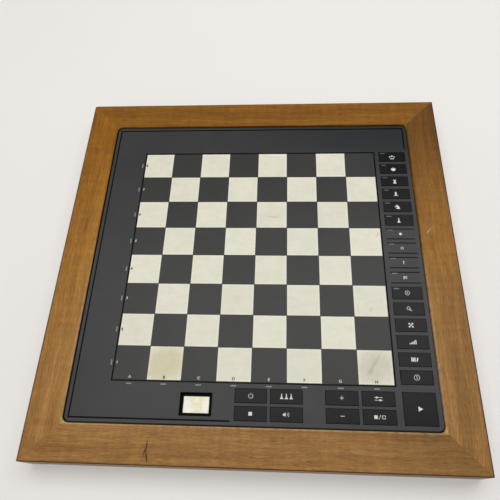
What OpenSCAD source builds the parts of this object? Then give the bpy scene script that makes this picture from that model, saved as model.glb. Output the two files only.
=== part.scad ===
// Electronic chess computer: a flat plastic module with a pressure-sensing
// playing field, set into a mitred wooden surround.
// Origin: middle of the footprint, on the table. +X runs towards the column of
// side keys, +Y to the back, away from the player, and +Z up.

/* [Playing field] */
// Side of the playing field
field_w = 280; // [264:2:304]
// Width of the dark line round the field
border_w = 1.2; // [0.8:0.1:2]
// Narrow dark edge left round each light square
tile_edge = 0.35; // [0.2:0.05:0.8]
// Wider dark edge between the outermost light squares and the line round the field
field_edge = 0.65; // [0.2:0.05:1.2]
// Thickness of the inlaid light squares
tile_t = 0.3; // [0.2:0.05:0.5]
// Thickness of the playing sheet
sheet_t = 0.8; // [0.6:0.1:1.2]
// Thickness of each of the three layers of the touch sensor
film_t = 0.3; // [0.2:0.05:0.4]
// Diameter of the contact hole in the sensor's spacer under each square
contact_d = 14; // [8:1:24]

/* [Module] */
// Blank margin left of the field
margin_left = 42.6; // [38:0.1:60]
// Blank margin behind the field
margin_back = 42; // [38:0.1:60]
// Height of the module from its rim to the panel
module_h = 23.5; // [22.5:0.5:34]
// Wall of both shells
wall = 2.2; // [1.6:0.1:2.6]
// Thickness of the panel
panel_t = 2.2; // [1.8:0.1:2.6]
// Thickness of the floor of the lower shell
floor_t = 2; // [1.6:0.1:2.4]
// Radius of the module's corners in plan
module_r = 6; // [4:0.5:10]
// Bevel round the edge of the panel
panel_bevel = 0.8; // [0.4:0.1:1.2]
// Height of the lower shell's side wall
lower_wall_h = 9.5; // [8:0.5:11]
// Height of the lip that locates the upper shell on the lower one
lip_h = 1.8; // [1:0.1:2.5]

/* [Decor grooves] */
// Width of the long groove near the panel's edge
groove_w = 1.6; // [1:0.1:2.4]
// Depth of the long groove
groove_depth = 0.8; // [0.4:0.1:1.2]
// Distance of the groove's centre line from the panel's edge
groove_inset = 4.6; // [3:0.1:6]
// Width of the lines that bound each status field
status_line_w = 1.2; // [0.6:0.1:1.6]
// Depth of the lines that bound each status field
status_line_depth = 0.5; // [0.3:0.1:0.8]

/* [Keys] */
// Width of a key
key_w = 31.2; // [28:0.1:34]
// Depth of a key
key_d = 13.7; // [12:0.1:14]
// Gap from the field to the nearest keys
key_margin = 5.9; // [5.5:0.1:9]
// Distance from the outermost keys to the panel's edge
key_edge = 5.1; // [4.2:0.1:8]
// Gap between the two rows of front keys
row_gap = 3.2; // [2.6:0.1:6]
// How far the keys stand above the panel
key_proud = 0.4; // [0.2:0.1:1]
// How far a key goes down when it is pressed
key_travel = 0.7; // [0.4:0.1:0.8]
// Gap between a key and its opening on each side
key_clear = 0.25; // [0.15:0.05:0.4]
// Bevel round the top of a key
key_bevel = 0.3; // [0.2:0.05:0.5]
// Radius of a key's corners
key_r = 0.6; // [0.5:0.1:2]
// Wall of a key
key_wall = 1.2; // [0.9:0.1:1.6]
// Width of the flange that keeps a key under the panel
key_flange = 0.9; // [0.6:0.05:1]

/* [Display] */
// Width of the display's opening in the panel
display_w = 32; // [26:0.5:36]
// Depth of the display's opening in the panel
display_d = 22.6; // [16:0.2:24]
// Width of the part of the display that shows
screen_w = 25.4; // [20:0.2:27]
// Depth of the part of the display that shows
screen_d = 15.9; // [10:0.1:17]
// Distance of the display's centre from the left edge of the field
display_x = 86.6; // [50:0.2:95]
// Distance of the display's centre from the front edge of the field
display_y = 21.9; // [19:0.1:23]
// Depth of the screen below the panel
screen_sink = 3.7; // [3:0.1:4.5]
// Thickness of the liquid-crystal glass
glass_t = 1.3; // [0.9:0.1:1.6]
// Thickness of the reflector behind the glass
reflector_t = 0.6; // [0.3:0.1:0.9]

/* [Lamps] */
// Length of a lamp's window
lamp_w = 5.5; // [4:0.1:7]
// Width of a lamp's window
lamp_d = 1.3; // [0.9:0.1:1.8]
// Distance of the lamps' windows from the field
lamp_gap = 3.5; // [2.5:0.1:4]
// Distance of a key's lamp from the key's left edge
lamp_inset_x = 4.7; // [4:0.1:8]
// Distance of a key's lamp from the key's back edge
lamp_inset_y = 2; // [1.6:0.1:3]

/* [Wooden surround] */
// Width of each rail
rail_w = 36.3; // [32:0.1:48]
// How far the panel lies below the top of the rails
panel_drop = 2; // [0.5:0.5:4]
// Gap between the module and the rails
rail_gap = 0.95; // [0.5:0.05:2]
// How far the ledge reaches under the module
ledge_w = 8; // [7:0.5:12]
// Thickness of the ledge
ledge_t = 6; // [5:0.5:9]
// Rounding of the rails' outer edges
rail_round = 1.5; // [0.5:0.1:3]
// Rounding that wear has left on the surround's back left corner
worn_round = 4.2; // [1.5:0.1:6]
// Bevel along the inner top edge
rail_bevel = 0.8; // [0.4:0.1:1.5]
// Length of the loose wooden tongue in each mitre
biscuit_l = 40; // [30:1:44]
// Width of the loose tongue
biscuit_w = 16; // [10:1:20]
// Thickness of the loose tongue
biscuit_t = 4; // [3:0.5:6]

/* [Feet and inlet] */
// Diameter of the rubber feet
foot_d = 16; // [10:1:22]
// Height of the rubber feet
foot_h = 3; // [2:0.5:6]
// Depth of the recess that each foot is glued into
foot_sink = 0.5; // [0.3:0.1:1]
// Distance of the feet from the ends of the front and back rails
foot_inset = 40; // [24:1:80]
// Distance of the power inlet from the middle of the back, towards the left
inlet_x = 120; // [112:1:130]
// Width of the passage through the back rail to the inlet
passage_w = 15; // [12:0.5:20]
// Bore of the power inlet
inlet_bore = 3.6; // [3:0.1:4]

/* [Battery bay] */
// Diameter of a cell
cell_d = 14.5; // [13:0.1:14.8]
// Length of a cell
cell_l = 50.5; // [44:0.5:52]
// Cells in each row
cells_in_row = 3; // [2:1:3]
// Rows of cells
cell_rows = 2; // [1:1:2]
// Room for the contacts at each end of a row
contact_room = 3.5; // [3:0.1:5]
// Thickness of the battery door
door_t = 2; // [1.6:0.1:2.4]
// How far the door slides open
door_slide = 12; // [8:1:14]

/* [Boards and screws] */
// Thickness of the circuit boards
board_t = 1.6; // [1:0.1:2]
// Thickness of the silicone key mats
mat_t = 0.8; // [0.5:0.1:1.2]
// Diameter of the screws' shanks
screw_d = 3; // [2.5:0.1:3.5]
// Diameter of the screws' heads
screw_head_d = 5.4; // [4.8:0.1:5.6]
// Width of the main board
main_board_w = 170; // [140:5:176]
// Depth of the main board
main_board_d = 104; // [90:2:110]

/* [Hidden] */
$fn = 48;
eps = 0.05;
ranks = 8;
fit = 0.1;
loose = 0.3;

// Colours
wood_colour = "#946b3f";
panel_colour = "#494846";
key_colour = "#323233";
light_colour = "#dedac8";
window_colour = "#b8b4a6";
board_colour = "#2f6b3c";
metal_colour = "#b9bcbf";

// Field and module in plan
square = field_w / ranks;
key_rows_d = 2 * key_d + row_gap;
margin_right = key_margin + key_w + key_edge;
margin_front = key_margin + key_rows_d + key_edge;
module_w = margin_left + field_w + margin_right;
module_d = margin_front + field_w + margin_back;
field_x0 = -module_w / 2 + margin_left;
field_x1 = field_x0 + field_w;
field_y0 = -module_d / 2 + margin_front;
field_y1 = field_y0 + field_w;
field_x = (field_x0 + field_x1) / 2;
field_y = (field_y0 + field_y1) / 2;
pocket = field_w + 2 * border_w;
sheet = field_w + 0.2;

// Surround in plan
opening_w = module_w + 2 * rail_gap;
opening_d = module_d + 2 * rail_gap;
opening_r = module_r + rail_gap;
surround_w = opening_w + 2 * rail_w;
surround_d = opening_d + 2 * rail_w;
mitre_reach = rail_w + ledge_w + opening_r + 20;

// Heights
rail_z = foot_h - foot_sink;
ledge_z = rail_z + ledge_t;
panel_z = ledge_z + module_h;
rail_top = panel_z + panel_drop;
rail_h = rail_top - rail_z;
tub_z = rail_z + 1.5;
floor_z = tub_z + floor_t;
rim_floor_z = ledge_z + floor_t;
seam_z = ledge_z + lower_wall_h;
plate_z = panel_z - panel_t;
pocket_z = panel_z - sheet_t - 3 * film_t;
slab_t = 2;
slab_z = pocket_z - slab_t;

// Tub: the part of the lower shell that hangs inside the ledge
tub_gap = 1.5;
tub_w = opening_w - 2 * ledge_w - 2 * tub_gap;
tub_d = opening_d - 2 * ledge_w - 2 * tub_gap;
tub_r = 5;

// Keys and what lies below them
key_top = panel_z + key_proud;
flange_t = 1;
flange_z = plate_z - 0.2 - flange_t;
key_roof = 1.4;
plunger_w = 6;
plunger_z = flange_z - 2;
dome_z = plunger_z - key_travel - fit;
dome_h = 1.4;
mat_z = dome_z - dome_h - mat_t;
board_z = mat_z - board_t;
lamp_h = 2;
lamp_top = mat_z + lamp_h;

// Side column: sixteen places, the first six and the last six are keys
side_places = 16;
status_first = 6;
status_count = 4;
lamped_places = 11;
column_rise = 0.7;
column_pitch = (field_w - 0.8 - key_d) / (side_places - 1);
column_x = field_x1 + key_margin + key_w / 2;
column_y0 = field_y1 + column_rise - key_d / 2;
front_row_y = field_y0 - key_margin - key_d / 2;
rows_y = field_y0 - key_margin - key_rows_d / 2;
lamp_off_x = -key_w / 2 + lamp_inset_x;
lamp_off_y = key_d / 2 - lamp_inset_y;
function side_y(place) = column_y0 - place * column_pitch;
function front_x(squares) = field_x0 + squares * square;
function front_y(row) = front_row_y - row * (key_d + row_gap);
go_squares = 4.006;
new_game_squares = 4.994;
plus_squares = 6.518;
function_squares = 7.515;

// Display
screen_z = panel_z - screen_sink;
display_x0 = field_x0 + display_x;
display_y0 = field_y0 - display_y;
glass_margin = 5;
glass_w = screen_w + 2 * glass_margin;
glass_d = screen_d + 2 * glass_margin;
reflector_z = screen_z - glass_t - reflector_t;
bezel_wall = 0.9;
mask_t = 0.6;
bezel_flange = 1.6;
holder_wall = 2;
strip_w = 2.4;

// Battery bay
bay_l = cells_in_row * cell_l + 2 * contact_room;
bay_w = cell_rows * (cell_d + 0.5) + 0.5;
bay_y = field_y1 - 20;
bay_wall = 1.6;
door_z = tub_z;
door_top = door_z + door_t;
door_l = bay_l + 8;
door_w = bay_w + 8;
recess_top = door_top + loose;
bay_top = recess_top + cell_d + 0.5;
tongue_w = 1.5;
tongue_t = 0.9;
tongue_z = door_top - tongue_t;
cell_z = recess_top + cell_d / 2 + 0.1;

// Screws
screw_r = screw_d / 2;
head_r = screw_head_d / 2;
head_h = 2;
hole_r = screw_r + 0.3;
pilot_r = screw_r + eps;
boss_r = screw_r + 2.3;
post_r = screw_r + 1;
ledge_screw_inset = 3.4;
ledge_screw_pitch = 5 * square;
ledge_boss_h = 6;
case_boss_z = floor_z + 4;
case_seat_z = tub_z + head_h + 0.6;

// Places of the screws that hold the shells together
boss_left = -module_w / 2 + 17;
boss_right = field_x1 - 5;
boss_far_right = module_w / 2 - 18;
boss_back = module_d / 2 - 17;
boss_front = field_y0 + 13;
case_spots = [
    [boss_left, field_y0 - 20],
    [boss_left, field_y],
    [boss_left, boss_back],
    [0, boss_back],
    [boss_far_right, boss_back],
    [boss_right, field_y + 1.8 * square],
    [boss_right, boss_front],
    [field_x - 5, boss_front],
    [field_x - 2.4 * square, field_y + 0.6 * square]
];

// Boards that hang from the upper shell
side_board_x0 = field_x1 + key_margin - 2;
side_board_x1 = module_w / 2 - wall - 1.2;
side_board_y0 = -module_d / 2 + wall + 1.6;
side_board_y1 = column_y0 + key_d / 2 + 11;
front_board_x0 = field_x0 + 2;
front_board_x1 = side_board_x0 - 2;
front_board_y0 = side_board_y0;
front_board_y1 = field_y0 + 2.5;
strip_board_x0 = field_x0 - 10;
strip_board_x1 = field_x0 + 1.4;
strip_board_y0 = front_board_y1 - 14;
strip_board_y1 = field_y1 + 1;
side_board_spots = [
    [column_x, side_board_y1 - 5],
    [column_x, side_y(status_first + 0.5)],
    [column_x, side_y(status_first + 2.5)],
    [column_x, (side_y(side_places - 1) + front_y(0)) / 2]
];
front_board_spots = [
    [front_x(0.4), rows_y],
    [(display_x0 + glass_w / 2 + front_x(go_squares) - key_w / 2) / 2, rows_y],
    [(front_x(new_game_squares) + front_x(plus_squares)) / 2, rows_y]
];
strip_board_spots = [
    for (rank = [1, 4, 7])
        [strip_board_x0 + 3, field_y0 + rank * square]
];

// Main board on the lower shell
main_board_x = field_x + 1.1 * square;
main_board_y = field_y - 1.1 * square;
main_board_z = floor_z + 4;
main_top = main_board_z + board_t;
main_inset = 6;
main_board_spots = [
    for (sx = [-1, 1], sy = [-1, 1])
        [main_board_x + sx * (main_board_w / 2 - main_inset),
         main_board_y + sy * (main_board_d / 2 - main_inset)]
];
board_head_h = 1.6;
pin_pitch = 2.54;
can_r = 4;
can_h = 6.5;

// Flat cables, and the tail that comes through the floor of the field's pocket
cable_t = 0.5;
tail_x = 30;
tail_w = 20;

// Inlet in the back wall
inlet_w = 9;
inlet_l = 13;
inlet_h = 8;
inlet_z = rim_floor_z + inlet_h / 2;
inlet_nose_r = 3.2;
passage_h = inlet_z + 6 - rail_z;

// Sounder on the floor
sounder_r = 13.5;
sounder_x = field_x - 3 * square;
sounder_y = field_y - 1.7 * square;
sounder_ring_h = 3;
sounder_t = 0.5;

// ---------- shapes ----------

module block(x0, y0, z0, x1, y1, z1) {
    translate([x0, y0, z0])
        cube([x1 - x0, y1 - y0, z1 - z0]);
}

module centred_block(w, d, z0, z1) {
    block(-w / 2, -d / 2, z0, w / 2, d / 2, z1);
}

module at(spots) {
    for (spot = spots)
        translate([spot[0], spot[1], 0])
            children();
}

module rounded_outline(w, d, r) {
    square([w - 2 * r, d], center = true);
    square([w, d - 2 * r], center = true);
    for (sx = [-1, 1], sy = [-1, 1])
        translate([sx * (w / 2 - r), sy * (d / 2 - r)])
            circle(r);
}

module rounded_block(w, d, r, z0, z1) {
    translate([0, 0, z0])
        linear_extrude(z1 - z0)
            rounded_outline(w, d, r);
}

// Layer that narrows by its own height on every side
module bevel_layer(w, d, r, bevel) {
    trapezoid_x = [[-w / 2, 0], [w / 2, 0], [w / 2 - bevel, bevel], [bevel - w / 2, bevel]];
    trapezoid_y = [[-d / 2, 0], [d / 2, 0], [d / 2 - bevel, bevel], [bevel - d / 2, bevel]];
    translate([0, d / 2 - r, 0])
        rotate([90, 0, 0])
            linear_extrude(d - 2 * r)
                polygon(trapezoid_x);
    translate([r - w / 2, 0, 0])
        rotate([90, 0, 90])
            linear_extrude(w - 2 * r)
                polygon(trapezoid_y);
    for (sx = [-1, 1], sy = [-1, 1])
        translate([sx * (w / 2 - r), sy * (d / 2 - r), 0])
            cylinder(h = bevel, r1 = r, r2 = r - bevel);
}

module bevelled_block(w, d, r, bevel, z0, z1) {
    rounded_block(w, d, r, z0, z1 - bevel);
    translate([0, 0, z1 - bevel])
        bevel_layer(w, d, r, bevel);
}

module disc(r, z0, z1) {
    translate([0, 0, z0])
        cylinder(h = z1 - z0, r = r);
}

// Screw that points up, with its head's underside at seat_z
module screw(seat_z, tip_z, head) {
    difference() {
        union() {
            disc(head_r, seat_z - head, seat_z);
            disc(screw_r, seat_z - eps, tip_z);
        }
        centred_block(3, 0.7, seat_z - head - eps, seat_z - head + 0.9);
        centred_block(0.7, 3, seat_z - head - eps, seat_z - head + 0.9);
    }
}

// Calls its children at each lamp beside the field, long side along X
module at_field_lamps() {
    for (rank = [0:ranks - 1]) {
        translate([field_x0 + (rank + 0.5) * square, field_y0 - lamp_gap, 0])
            children();
        translate([field_x0 - lamp_gap, field_y0 + (rank + 0.5) * square, 0])
            rotate([0, 0, 90])
                children();
    }
}

// Calls its children at the lamps of the side column, from place first to last
module at_side_lamps(first, last) {
    for (place = [first:last])
        translate([column_x + lamp_off_x, side_y(place) + lamp_off_y, 0])
            children();
}

module at_side_keys() {
    for (place = [0:side_places - 1])
        if (place < status_first || place >= status_first + status_count)
            translate([column_x, side_y(place), 0])
                children();
}

module at_front_keys() {
    for (squares = [go_squares, new_game_squares, plus_squares, function_squares], row = [0, 1])
        translate([front_x(squares), front_y(row), 0])
            children();
}

// ---------- wooden surround ----------

function arc(x, z, r, from, to, steps = 5) = [
    for (i = [0:steps])
        let (a = from + (to - from) * i / steps)
        [x + r * cos(a), z + r * sin(a)]
];

// Cross-section of a rail: x from the outer face inwards, y up
function rail_section() = concat(
    arc(rail_round, rail_round, rail_round, 270, 180),
    arc(rail_round, rail_h - rail_round, rail_round, 180, 90),
    [
        [rail_w - rail_bevel, rail_h],
        [rail_w, rail_h - rail_bevel],
        [rail_w, ledge_t],
        [rail_w + ledge_w, ledge_t],
        [rail_w + ledge_w, 0]
    ]
);

// Rounds the opening's inner corner; drawn at that corner, opening towards +X +Y
module corner_web() {
    difference() {
        block(-rail_bevel, -rail_bevel, ledge_z, opening_r, opening_r, rail_top);
        translate([opening_r, opening_r, 0]) {
            disc(opening_r, ledge_z - eps, rail_top + eps);
            translate([0, 0, rail_top - rail_bevel])
                cylinder(h = rail_bevel + eps, r1 = opening_r, r2 = opening_r + rail_bevel + eps);
        }
    }
}

// Removes the sharp vertical edge at an outer corner, drawn at that corner
module corner_cut(r) {
    difference() {
        block(-1, -1, rail_z - 1, r, r, rail_top + 1);
        translate([r, r, 0])
            disc(r, rail_z - 2, rail_top + 2);
    }
}

// Loose tongue, lens-shaped in plan, across the mitre of the front left corner
module tongue(clearance) {
    half_l = biscuit_l / 2;
    half_w = biscuit_w / 2;
    lens_r = (half_l * half_l + half_w * half_w) / (2 * half_w);
    z0 = (rail_z + rail_top - biscuit_t) / 2 - clearance;
    translate([rail_w / 2, rail_w / 2, 0])
        rotate([0, 0, 45])
            intersection_for(side = [-1, 1])
                translate([0, side * (lens_r - half_w), 0])
                    disc(lens_r + clearance, z0, z0 + biscuit_t + 2 * clearance);
}

// Rail along the front of a surround that is length wide and depth deep,
// with the rounding of its left and right end
module rail(length, depth, rounds = [rail_round, rail_round]) {
    outer = [-length / 2, -depth / 2];
    difference() {
        intersection() {
            union() {
                translate([outer[0], outer[1], rail_z])
                    rotate([90, 0, 90])
                        linear_extrude(length)
                            polygon(rail_section());
                for (side = [0, 1])
                    mirror([side, 0, 0])
                        translate([outer[0] + rail_w, outer[1] + rail_w, 0])
                            corner_web();
            }
            translate([0, 0, rail_z - 1])
                linear_extrude(rail_h + 2)
                    polygon([
                        outer,
                        [-outer[0], outer[1]],
                        [-outer[0] - mitre_reach, outer[1] + mitre_reach],
                        [outer[0] + mitre_reach, outer[1] + mitre_reach]
                    ]);
        }
        for (side = [0, 1])
            mirror([side, 0, 0])
                translate([outer[0], outer[1], 0]) {
                    corner_cut(rounds[side]);
                    tongue(fit);
                }
        for (side = [-1, 1])
            translate([side * ledge_screw_pitch / 2, outer[1] + rail_w + rail_gap + ledge_screw_inset, 0]) {
                disc(hole_r, rail_z - 1, ledge_z + 1);
                disc(head_r + loose, rail_z - 1, rail_z + ledge_t / 2);
            }
    }
}

module foot_recesses(length, depth) {
    for (side = [-1, 1])
        translate([side * (length / 2 - foot_inset), -(depth - rail_w) / 2, 0])
            disc(foot_d / 2 + fit, rail_z - 1, rail_z + foot_sink);
}

module front_rail() {
    color(wood_colour)
        difference() {
            rail(surround_w, surround_d);
            foot_recesses(surround_w, surround_d);
        }
}

module back_rail() {
    color(wood_colour)
        difference() {
            rotate([0, 0, 180])
                difference() {
                    rail(surround_w, surround_d, [rail_round, worn_round]);
                    foot_recesses(surround_w, surround_d);
                }
            block(-inlet_x - passage_w / 2, opening_d / 2 - ledge_w - 1, rail_z - 1,
                  -inlet_x + passage_w / 2, surround_d / 2 + 1, rail_z + passage_h);
        }
}

module left_rail() {
    color(wood_colour)
        rotate([0, 0, -90])
            rail(surround_d, surround_w, [worn_round, rail_round]);
}

module right_rail() {
    color(wood_colour)
        rotate([0, 0, 90])
            rail(surround_d, surround_w);
}

module mitre_tongues() {
    color("#b98a57")
        for (sx = [0, 1], sy = [0, 1])
            mirror([sx, 0, 0])
                mirror([0, sy, 0])
                    translate([-surround_w / 2, -surround_d / 2, 0])
                        tongue(0);
}

module rubber_feet() {
    color("#1c1c1c")
        for (sy = [0, 1], sx = [-1, 1])
            mirror([0, sy, 0])
                translate([sx * (surround_w / 2 - foot_inset), -(surround_d - rail_w) / 2, 0])
                    difference() {
                        disc(foot_d / 2, 0, foot_h);
                        disc(foot_d / 5, -eps, 1);
                    }
}

module at_ledge_screws() {
    for (side = [-1, 1], turn = [0, 1]) {
        rotate([0, 0, turn * 180])
            translate([side * ledge_screw_pitch / 2, ledge_screw_inset - module_d / 2, 0])
                children();
        rotate([0, 0, 90 + turn * 180])
            translate([side * ledge_screw_pitch / 2, ledge_screw_inset - module_w / 2, 0])
                children();
    }
}

module module_screws() {
    color(metal_colour)
        at_ledge_screws()
            screw(rail_z + ledge_t / 2, ledge_z + ledge_boss_h - 1, head_h);
}

// ---------- shells ----------

module decor_grooves() {
    x0 = groove_inset - module_w / 2;
    x1 = module_w / 2 - groove_inset;
    y0 = groove_inset - module_d / 2;
    y1 = module_d / 2 - groove_inset;
    half = groove_w / 2;
    z0 = panel_z - groove_depth;
    z1 = panel_z + 1;
    end_gap = 4;
    block(x0 - half, y0 - half, z0, x0 + half, y1 + half, z1);
    block(x0, y1 - half, z0, x1 + half, y1 + half, z1);
    block(x1 - half, column_y0 + key_d / 2 + end_gap, z0, x1 + half, y1, z1);
    block(x0, y0 - half, z0, front_x(go_squares) - key_w / 2 - end_gap, y0 + half, z1);
}

module status_lines() {
    for (i = [0:status_count - 1], side = [-1, 1])
        translate([column_x, side_y(status_first + i) + side * (key_d - status_line_w) / 2, 0])
            centred_block(key_w, status_line_w, panel_z - status_line_depth, panel_z + 1);
}

module key_opening(w, d) {
    centred_block(w + 2 * key_clear, d + 2 * key_clear, plate_z - 1, panel_z + 1);
}

module lamp_slot() {
    centred_block(lamp_w + 2 * fit, lamp_d + 2 * fit, slab_z - 1, panel_z + 1);
}

// Hollow post with a pilot hole, from z0 up to the underside of the panel
module hanging_post(r, z0, z1) {
    difference() {
        disc(r, z0, z1);
        disc(pilot_r, z0 - eps, z1 - 1.5);
    }
}

module upper_shell() {
    color(panel_colour) {
        difference() {
            union() {
                difference() {
                    bevelled_block(module_w, module_d, module_r, panel_bevel, seam_z, panel_z);
                    rounded_block(module_w - 2 * wall, module_d - 2 * wall, module_r - wall,
                                  seam_z - 1, plate_z);
                    rounded_block(module_w - wall, module_d - wall, module_r - wall / 2,
                                  seam_z - 1, seam_z + lip_h + 0.2);
                }
                translate([field_x, field_y, 0])
                    centred_block(pocket + 2 * slab_t, pocket + 2 * slab_t, slab_z, plate_z + eps);
            }
            translate([field_x, field_y, 0])
                centred_block(pocket, pocket, pocket_z, panel_z + 1);
            block(field_x + tail_x, field_y0 + 2, slab_z - 1,
                  field_x + tail_x + tail_w, field_y0 + 4, panel_z);
            decor_grooves();
            status_lines();
            at_side_keys()
                key_opening(key_w, key_d);
            at_front_keys()
                key_opening(key_w, key_d);
            translate([column_x, rows_y, 0])
                key_opening(key_w, key_rows_d);
            at_field_lamps()
                lamp_slot();
            at_side_lamps(status_first, status_first + status_count - 1)
                lamp_slot();
            translate([display_x0, display_y0, 0])
                centred_block(display_w, display_d, plate_z - 1, panel_z + 1);
        }
        difference() {
            at(case_spots)
                disc(boss_r, case_boss_z, plate_z + eps);
            at(case_spots)
                disc(pilot_r, case_boss_z - eps, slab_z - 2);
            translate([field_x, field_y, 0])
                centred_block(pocket, pocket, slab_z + eps, panel_z);
        }
        at(concat(side_board_spots, front_board_spots, strip_board_spots))
            hanging_post(post_r, mat_z, plate_z + eps);
    }
}

module bay_shell() {
    block(-bay_l / 2 - bay_wall, bay_y - bay_w / 2 - bay_wall, floor_z - floor_t,
          bay_l / 2 + bay_wall, bay_y + bay_w / 2 + bay_wall, bay_top + bay_wall);
}

// Shallow track under the floor that the door lies in and slides along
module door_track() {
    x = door_l / 2 + loose;
    y0 = bay_y - door_w / 2 - door_slide - loose;
    y1 = bay_y + door_w / 2 + loose;
    block(-x, y0, tub_z - 1, x, y1, recess_top);
    block(-x - tongue_w, y0, tongue_z - 0.2, x + tongue_w, y1, recess_top);
}

module track_roof() {
    x = door_l / 2 + tongue_w + 2;
    block(-x, bay_y - door_w / 2 - door_slide - 2, floor_z - eps,
          x, bay_y + door_w / 2 + 2, recess_top + floor_t);
}

module sounder_holes() {
    disc(1.2, tub_z - 1, floor_z + 1);
    for (i = [0:5])
        rotate([0, 0, i * 60])
            translate([6, 0, 0])
                disc(1.2, tub_z - 1, floor_z + 1);
}

module lower_shell() {
    color("#2b2b2b")
        difference() {
            union() {
                difference() {
                    union() {
                        rounded_block(module_w, module_d, module_r, ledge_z, seam_z);
                        rounded_block(tub_w, tub_d, tub_r, tub_z, ledge_z + eps);
                        rounded_block(module_w - wall - 2 * fit, module_d - wall - 2 * fit,
                                      module_r - wall / 2 - fit, seam_z - eps, seam_z + lip_h);
                    }
                    rounded_block(module_w - 2 * wall, module_d - 2 * wall, module_r - wall,
                                  rim_floor_z, seam_z + lip_h + 1);
                    rounded_block(tub_w - 2 * wall, tub_d - 2 * wall, tub_r - wall,
                                  floor_z, rim_floor_z + eps);
                }
                bay_shell();
                track_roof();
                at(case_spots)
                    disc(boss_r, floor_z - eps, case_boss_z - 0.1);
                at(main_board_spots)
                    disc(post_r, floor_z - eps, main_board_z);
                at_ledge_screws()
                    disc(ledge_screw_inset - 0.4, rim_floor_z - eps, ledge_z + ledge_boss_h);
                translate([sounder_x, sounder_y, 0])
                    disc(sounder_r + 1.5, floor_z - eps, floor_z + sounder_ring_h);
            }
            door_track();
            block(-bay_l / 2, bay_y - bay_w / 2, tub_z - 1, bay_l / 2, bay_y + bay_w / 2, bay_top);
            at(case_spots) {
                disc(hole_r, tub_z - 1, case_boss_z + 1);
                disc(head_r + loose, tub_z - 1, case_seat_z);
            }
            at(main_board_spots)
                disc(pilot_r, floor_z, main_board_z + 1);
            at_ledge_screws()
                disc(pilot_r, ledge_z - 1, ledge_z + ledge_boss_h - 0.8);
            translate([sounder_x, sounder_y, 0]) {
                disc(sounder_r + fit, floor_z + 1.2, floor_z + sounder_ring_h + 1);
                disc(sounder_r - 2, floor_z, floor_z + sounder_ring_h + 1);
                sounder_holes();
            }
            translate([-inlet_x, module_d / 2 - wall - 1, inlet_z])
                rotate([-90, 0, 0])
                    cylinder(h = wall + 2, r = inlet_nose_r + 0.2);
        }
}

module case_screws() {
    color(metal_colour)
        at(case_spots)
            screw(case_seat_z, slab_z - 4, head_h);
}

// ---------- playing field ----------

module inlays(z0, z1) {
    inlay = square - 2 * tile_edge;
    intersection() {
        translate([field_x, field_y, 0])
            centred_block(field_w - 2 * field_edge, field_w - 2 * field_edge, z0 - 1, z1 + 1);
        for (file = [0:ranks - 1], rank = [0:ranks - 1])
            if ((file + rank) % 2 == 1)
                translate([field_x0 + (file + 0.5) * square, field_y0 + (rank + 0.5) * square, 0])
                    centred_block(inlay, inlay, z0, z1);
    }
}

module playing_sheet() {
    color("#3f3f40")
        difference() {
            translate([field_x, field_y, 0])
                centred_block(sheet, sheet, panel_z - sheet_t, panel_z);
            inlays(panel_z - tile_t, panel_z + 1);
        }
}

module light_squares() {
    color(light_colour)
        inlays(panel_z - tile_t, panel_z);
}

module film(layer) {
    z1 = panel_z - sheet_t - layer * film_t;
    translate([field_x, field_y, 0])
        centred_block(sheet, sheet, z1 - film_t, z1);
}

module sensor_top_film() {
    color("#c9c2a8")
        film(0);
}

module sensor_spacer() {
    color("#e4e0d2")
        difference() {
            film(1);
            for (file = [0:ranks - 1], rank = [0:ranks - 1])
                translate([field_x0 + (file + 0.5) * square, field_y0 + (rank + 0.5) * square, 0])
                    disc(contact_d / 2, pocket_z, panel_z);
        }
}

module sensor_bottom_film() {
    color("#c9c2a8")
        film(2);
}

// ---------- keys ----------

module key(w, d, lamped) {
    color(key_colour) {
        difference() {
            union() {
                bevelled_block(w, d, key_r, key_bevel, flange_z + flange_t, key_top);
                centred_block(w + 2 * key_flange, d + 2 * key_flange, flange_z, flange_z + flange_t);
            }
            centred_block(w - 2 * key_wall, d - 2 * key_wall, flange_z - 1, key_top - key_roof);
            if (lamped)
                translate([lamp_off_x, lamp_off_y, 0])
                    centred_block(lamp_w + 4 * fit, lamp_d + 4 * fit, flange_z - 1, key_top + 1);
        }
        centred_block(plunger_w, plunger_w, plunger_z, key_top - key_roof + eps);
    }
}

module side_key(place, lamped = false) {
    translate([column_x, side_y(place), 0])
        key(key_w, key_d, lamped);
}

module front_key(squares, row) {
    translate([front_x(squares), front_y(row), 0])
        key(key_w, key_d, false);
}

module king_key() { side_key(0, true); }
module queen_key() { side_key(1, true); }
module rook_key() { side_key(2, true); }
module bishop_key() { side_key(3, true); }
module knight_key() { side_key(4, true); }
module pawn_key() { side_key(5, true); }
module normal_key() { side_key(10, true); }
module analysis_key() { side_key(11); }
module set_up_key() { side_key(12); }
module level_key() { side_key(13); }
module library_key() { side_key(14); }
module info_key() { side_key(15); }
module go_key() { front_key(go_squares, 0); }
module stop_key() { front_key(go_squares, 1); }
module new_game_key() { front_key(new_game_squares, 0); }
module sound_key() { front_key(new_game_squares, 1); }
module plus_key() { front_key(plus_squares, 0); }
module minus_key() { front_key(plus_squares, 1); }
module function_key() { front_key(function_squares, 0); }
module colour_key() { front_key(function_squares, 1); }

module play_key() {
    translate([column_x, rows_y, 0])
        key(key_w, key_rows_d, false);
}

// Silicone dome that carries a key's contact, under the plunger
module dome() {
    translate([0, 0, mat_z + mat_t - eps])
        cylinder(h = dome_h + eps, r1 = 5, r2 = 3.5);
}

module lamp_window_hole() {
    centred_block(lamp_w + 1.6, lamp_d + 1.6, mat_z - 1, mat_z + mat_t + 1);
}

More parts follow.
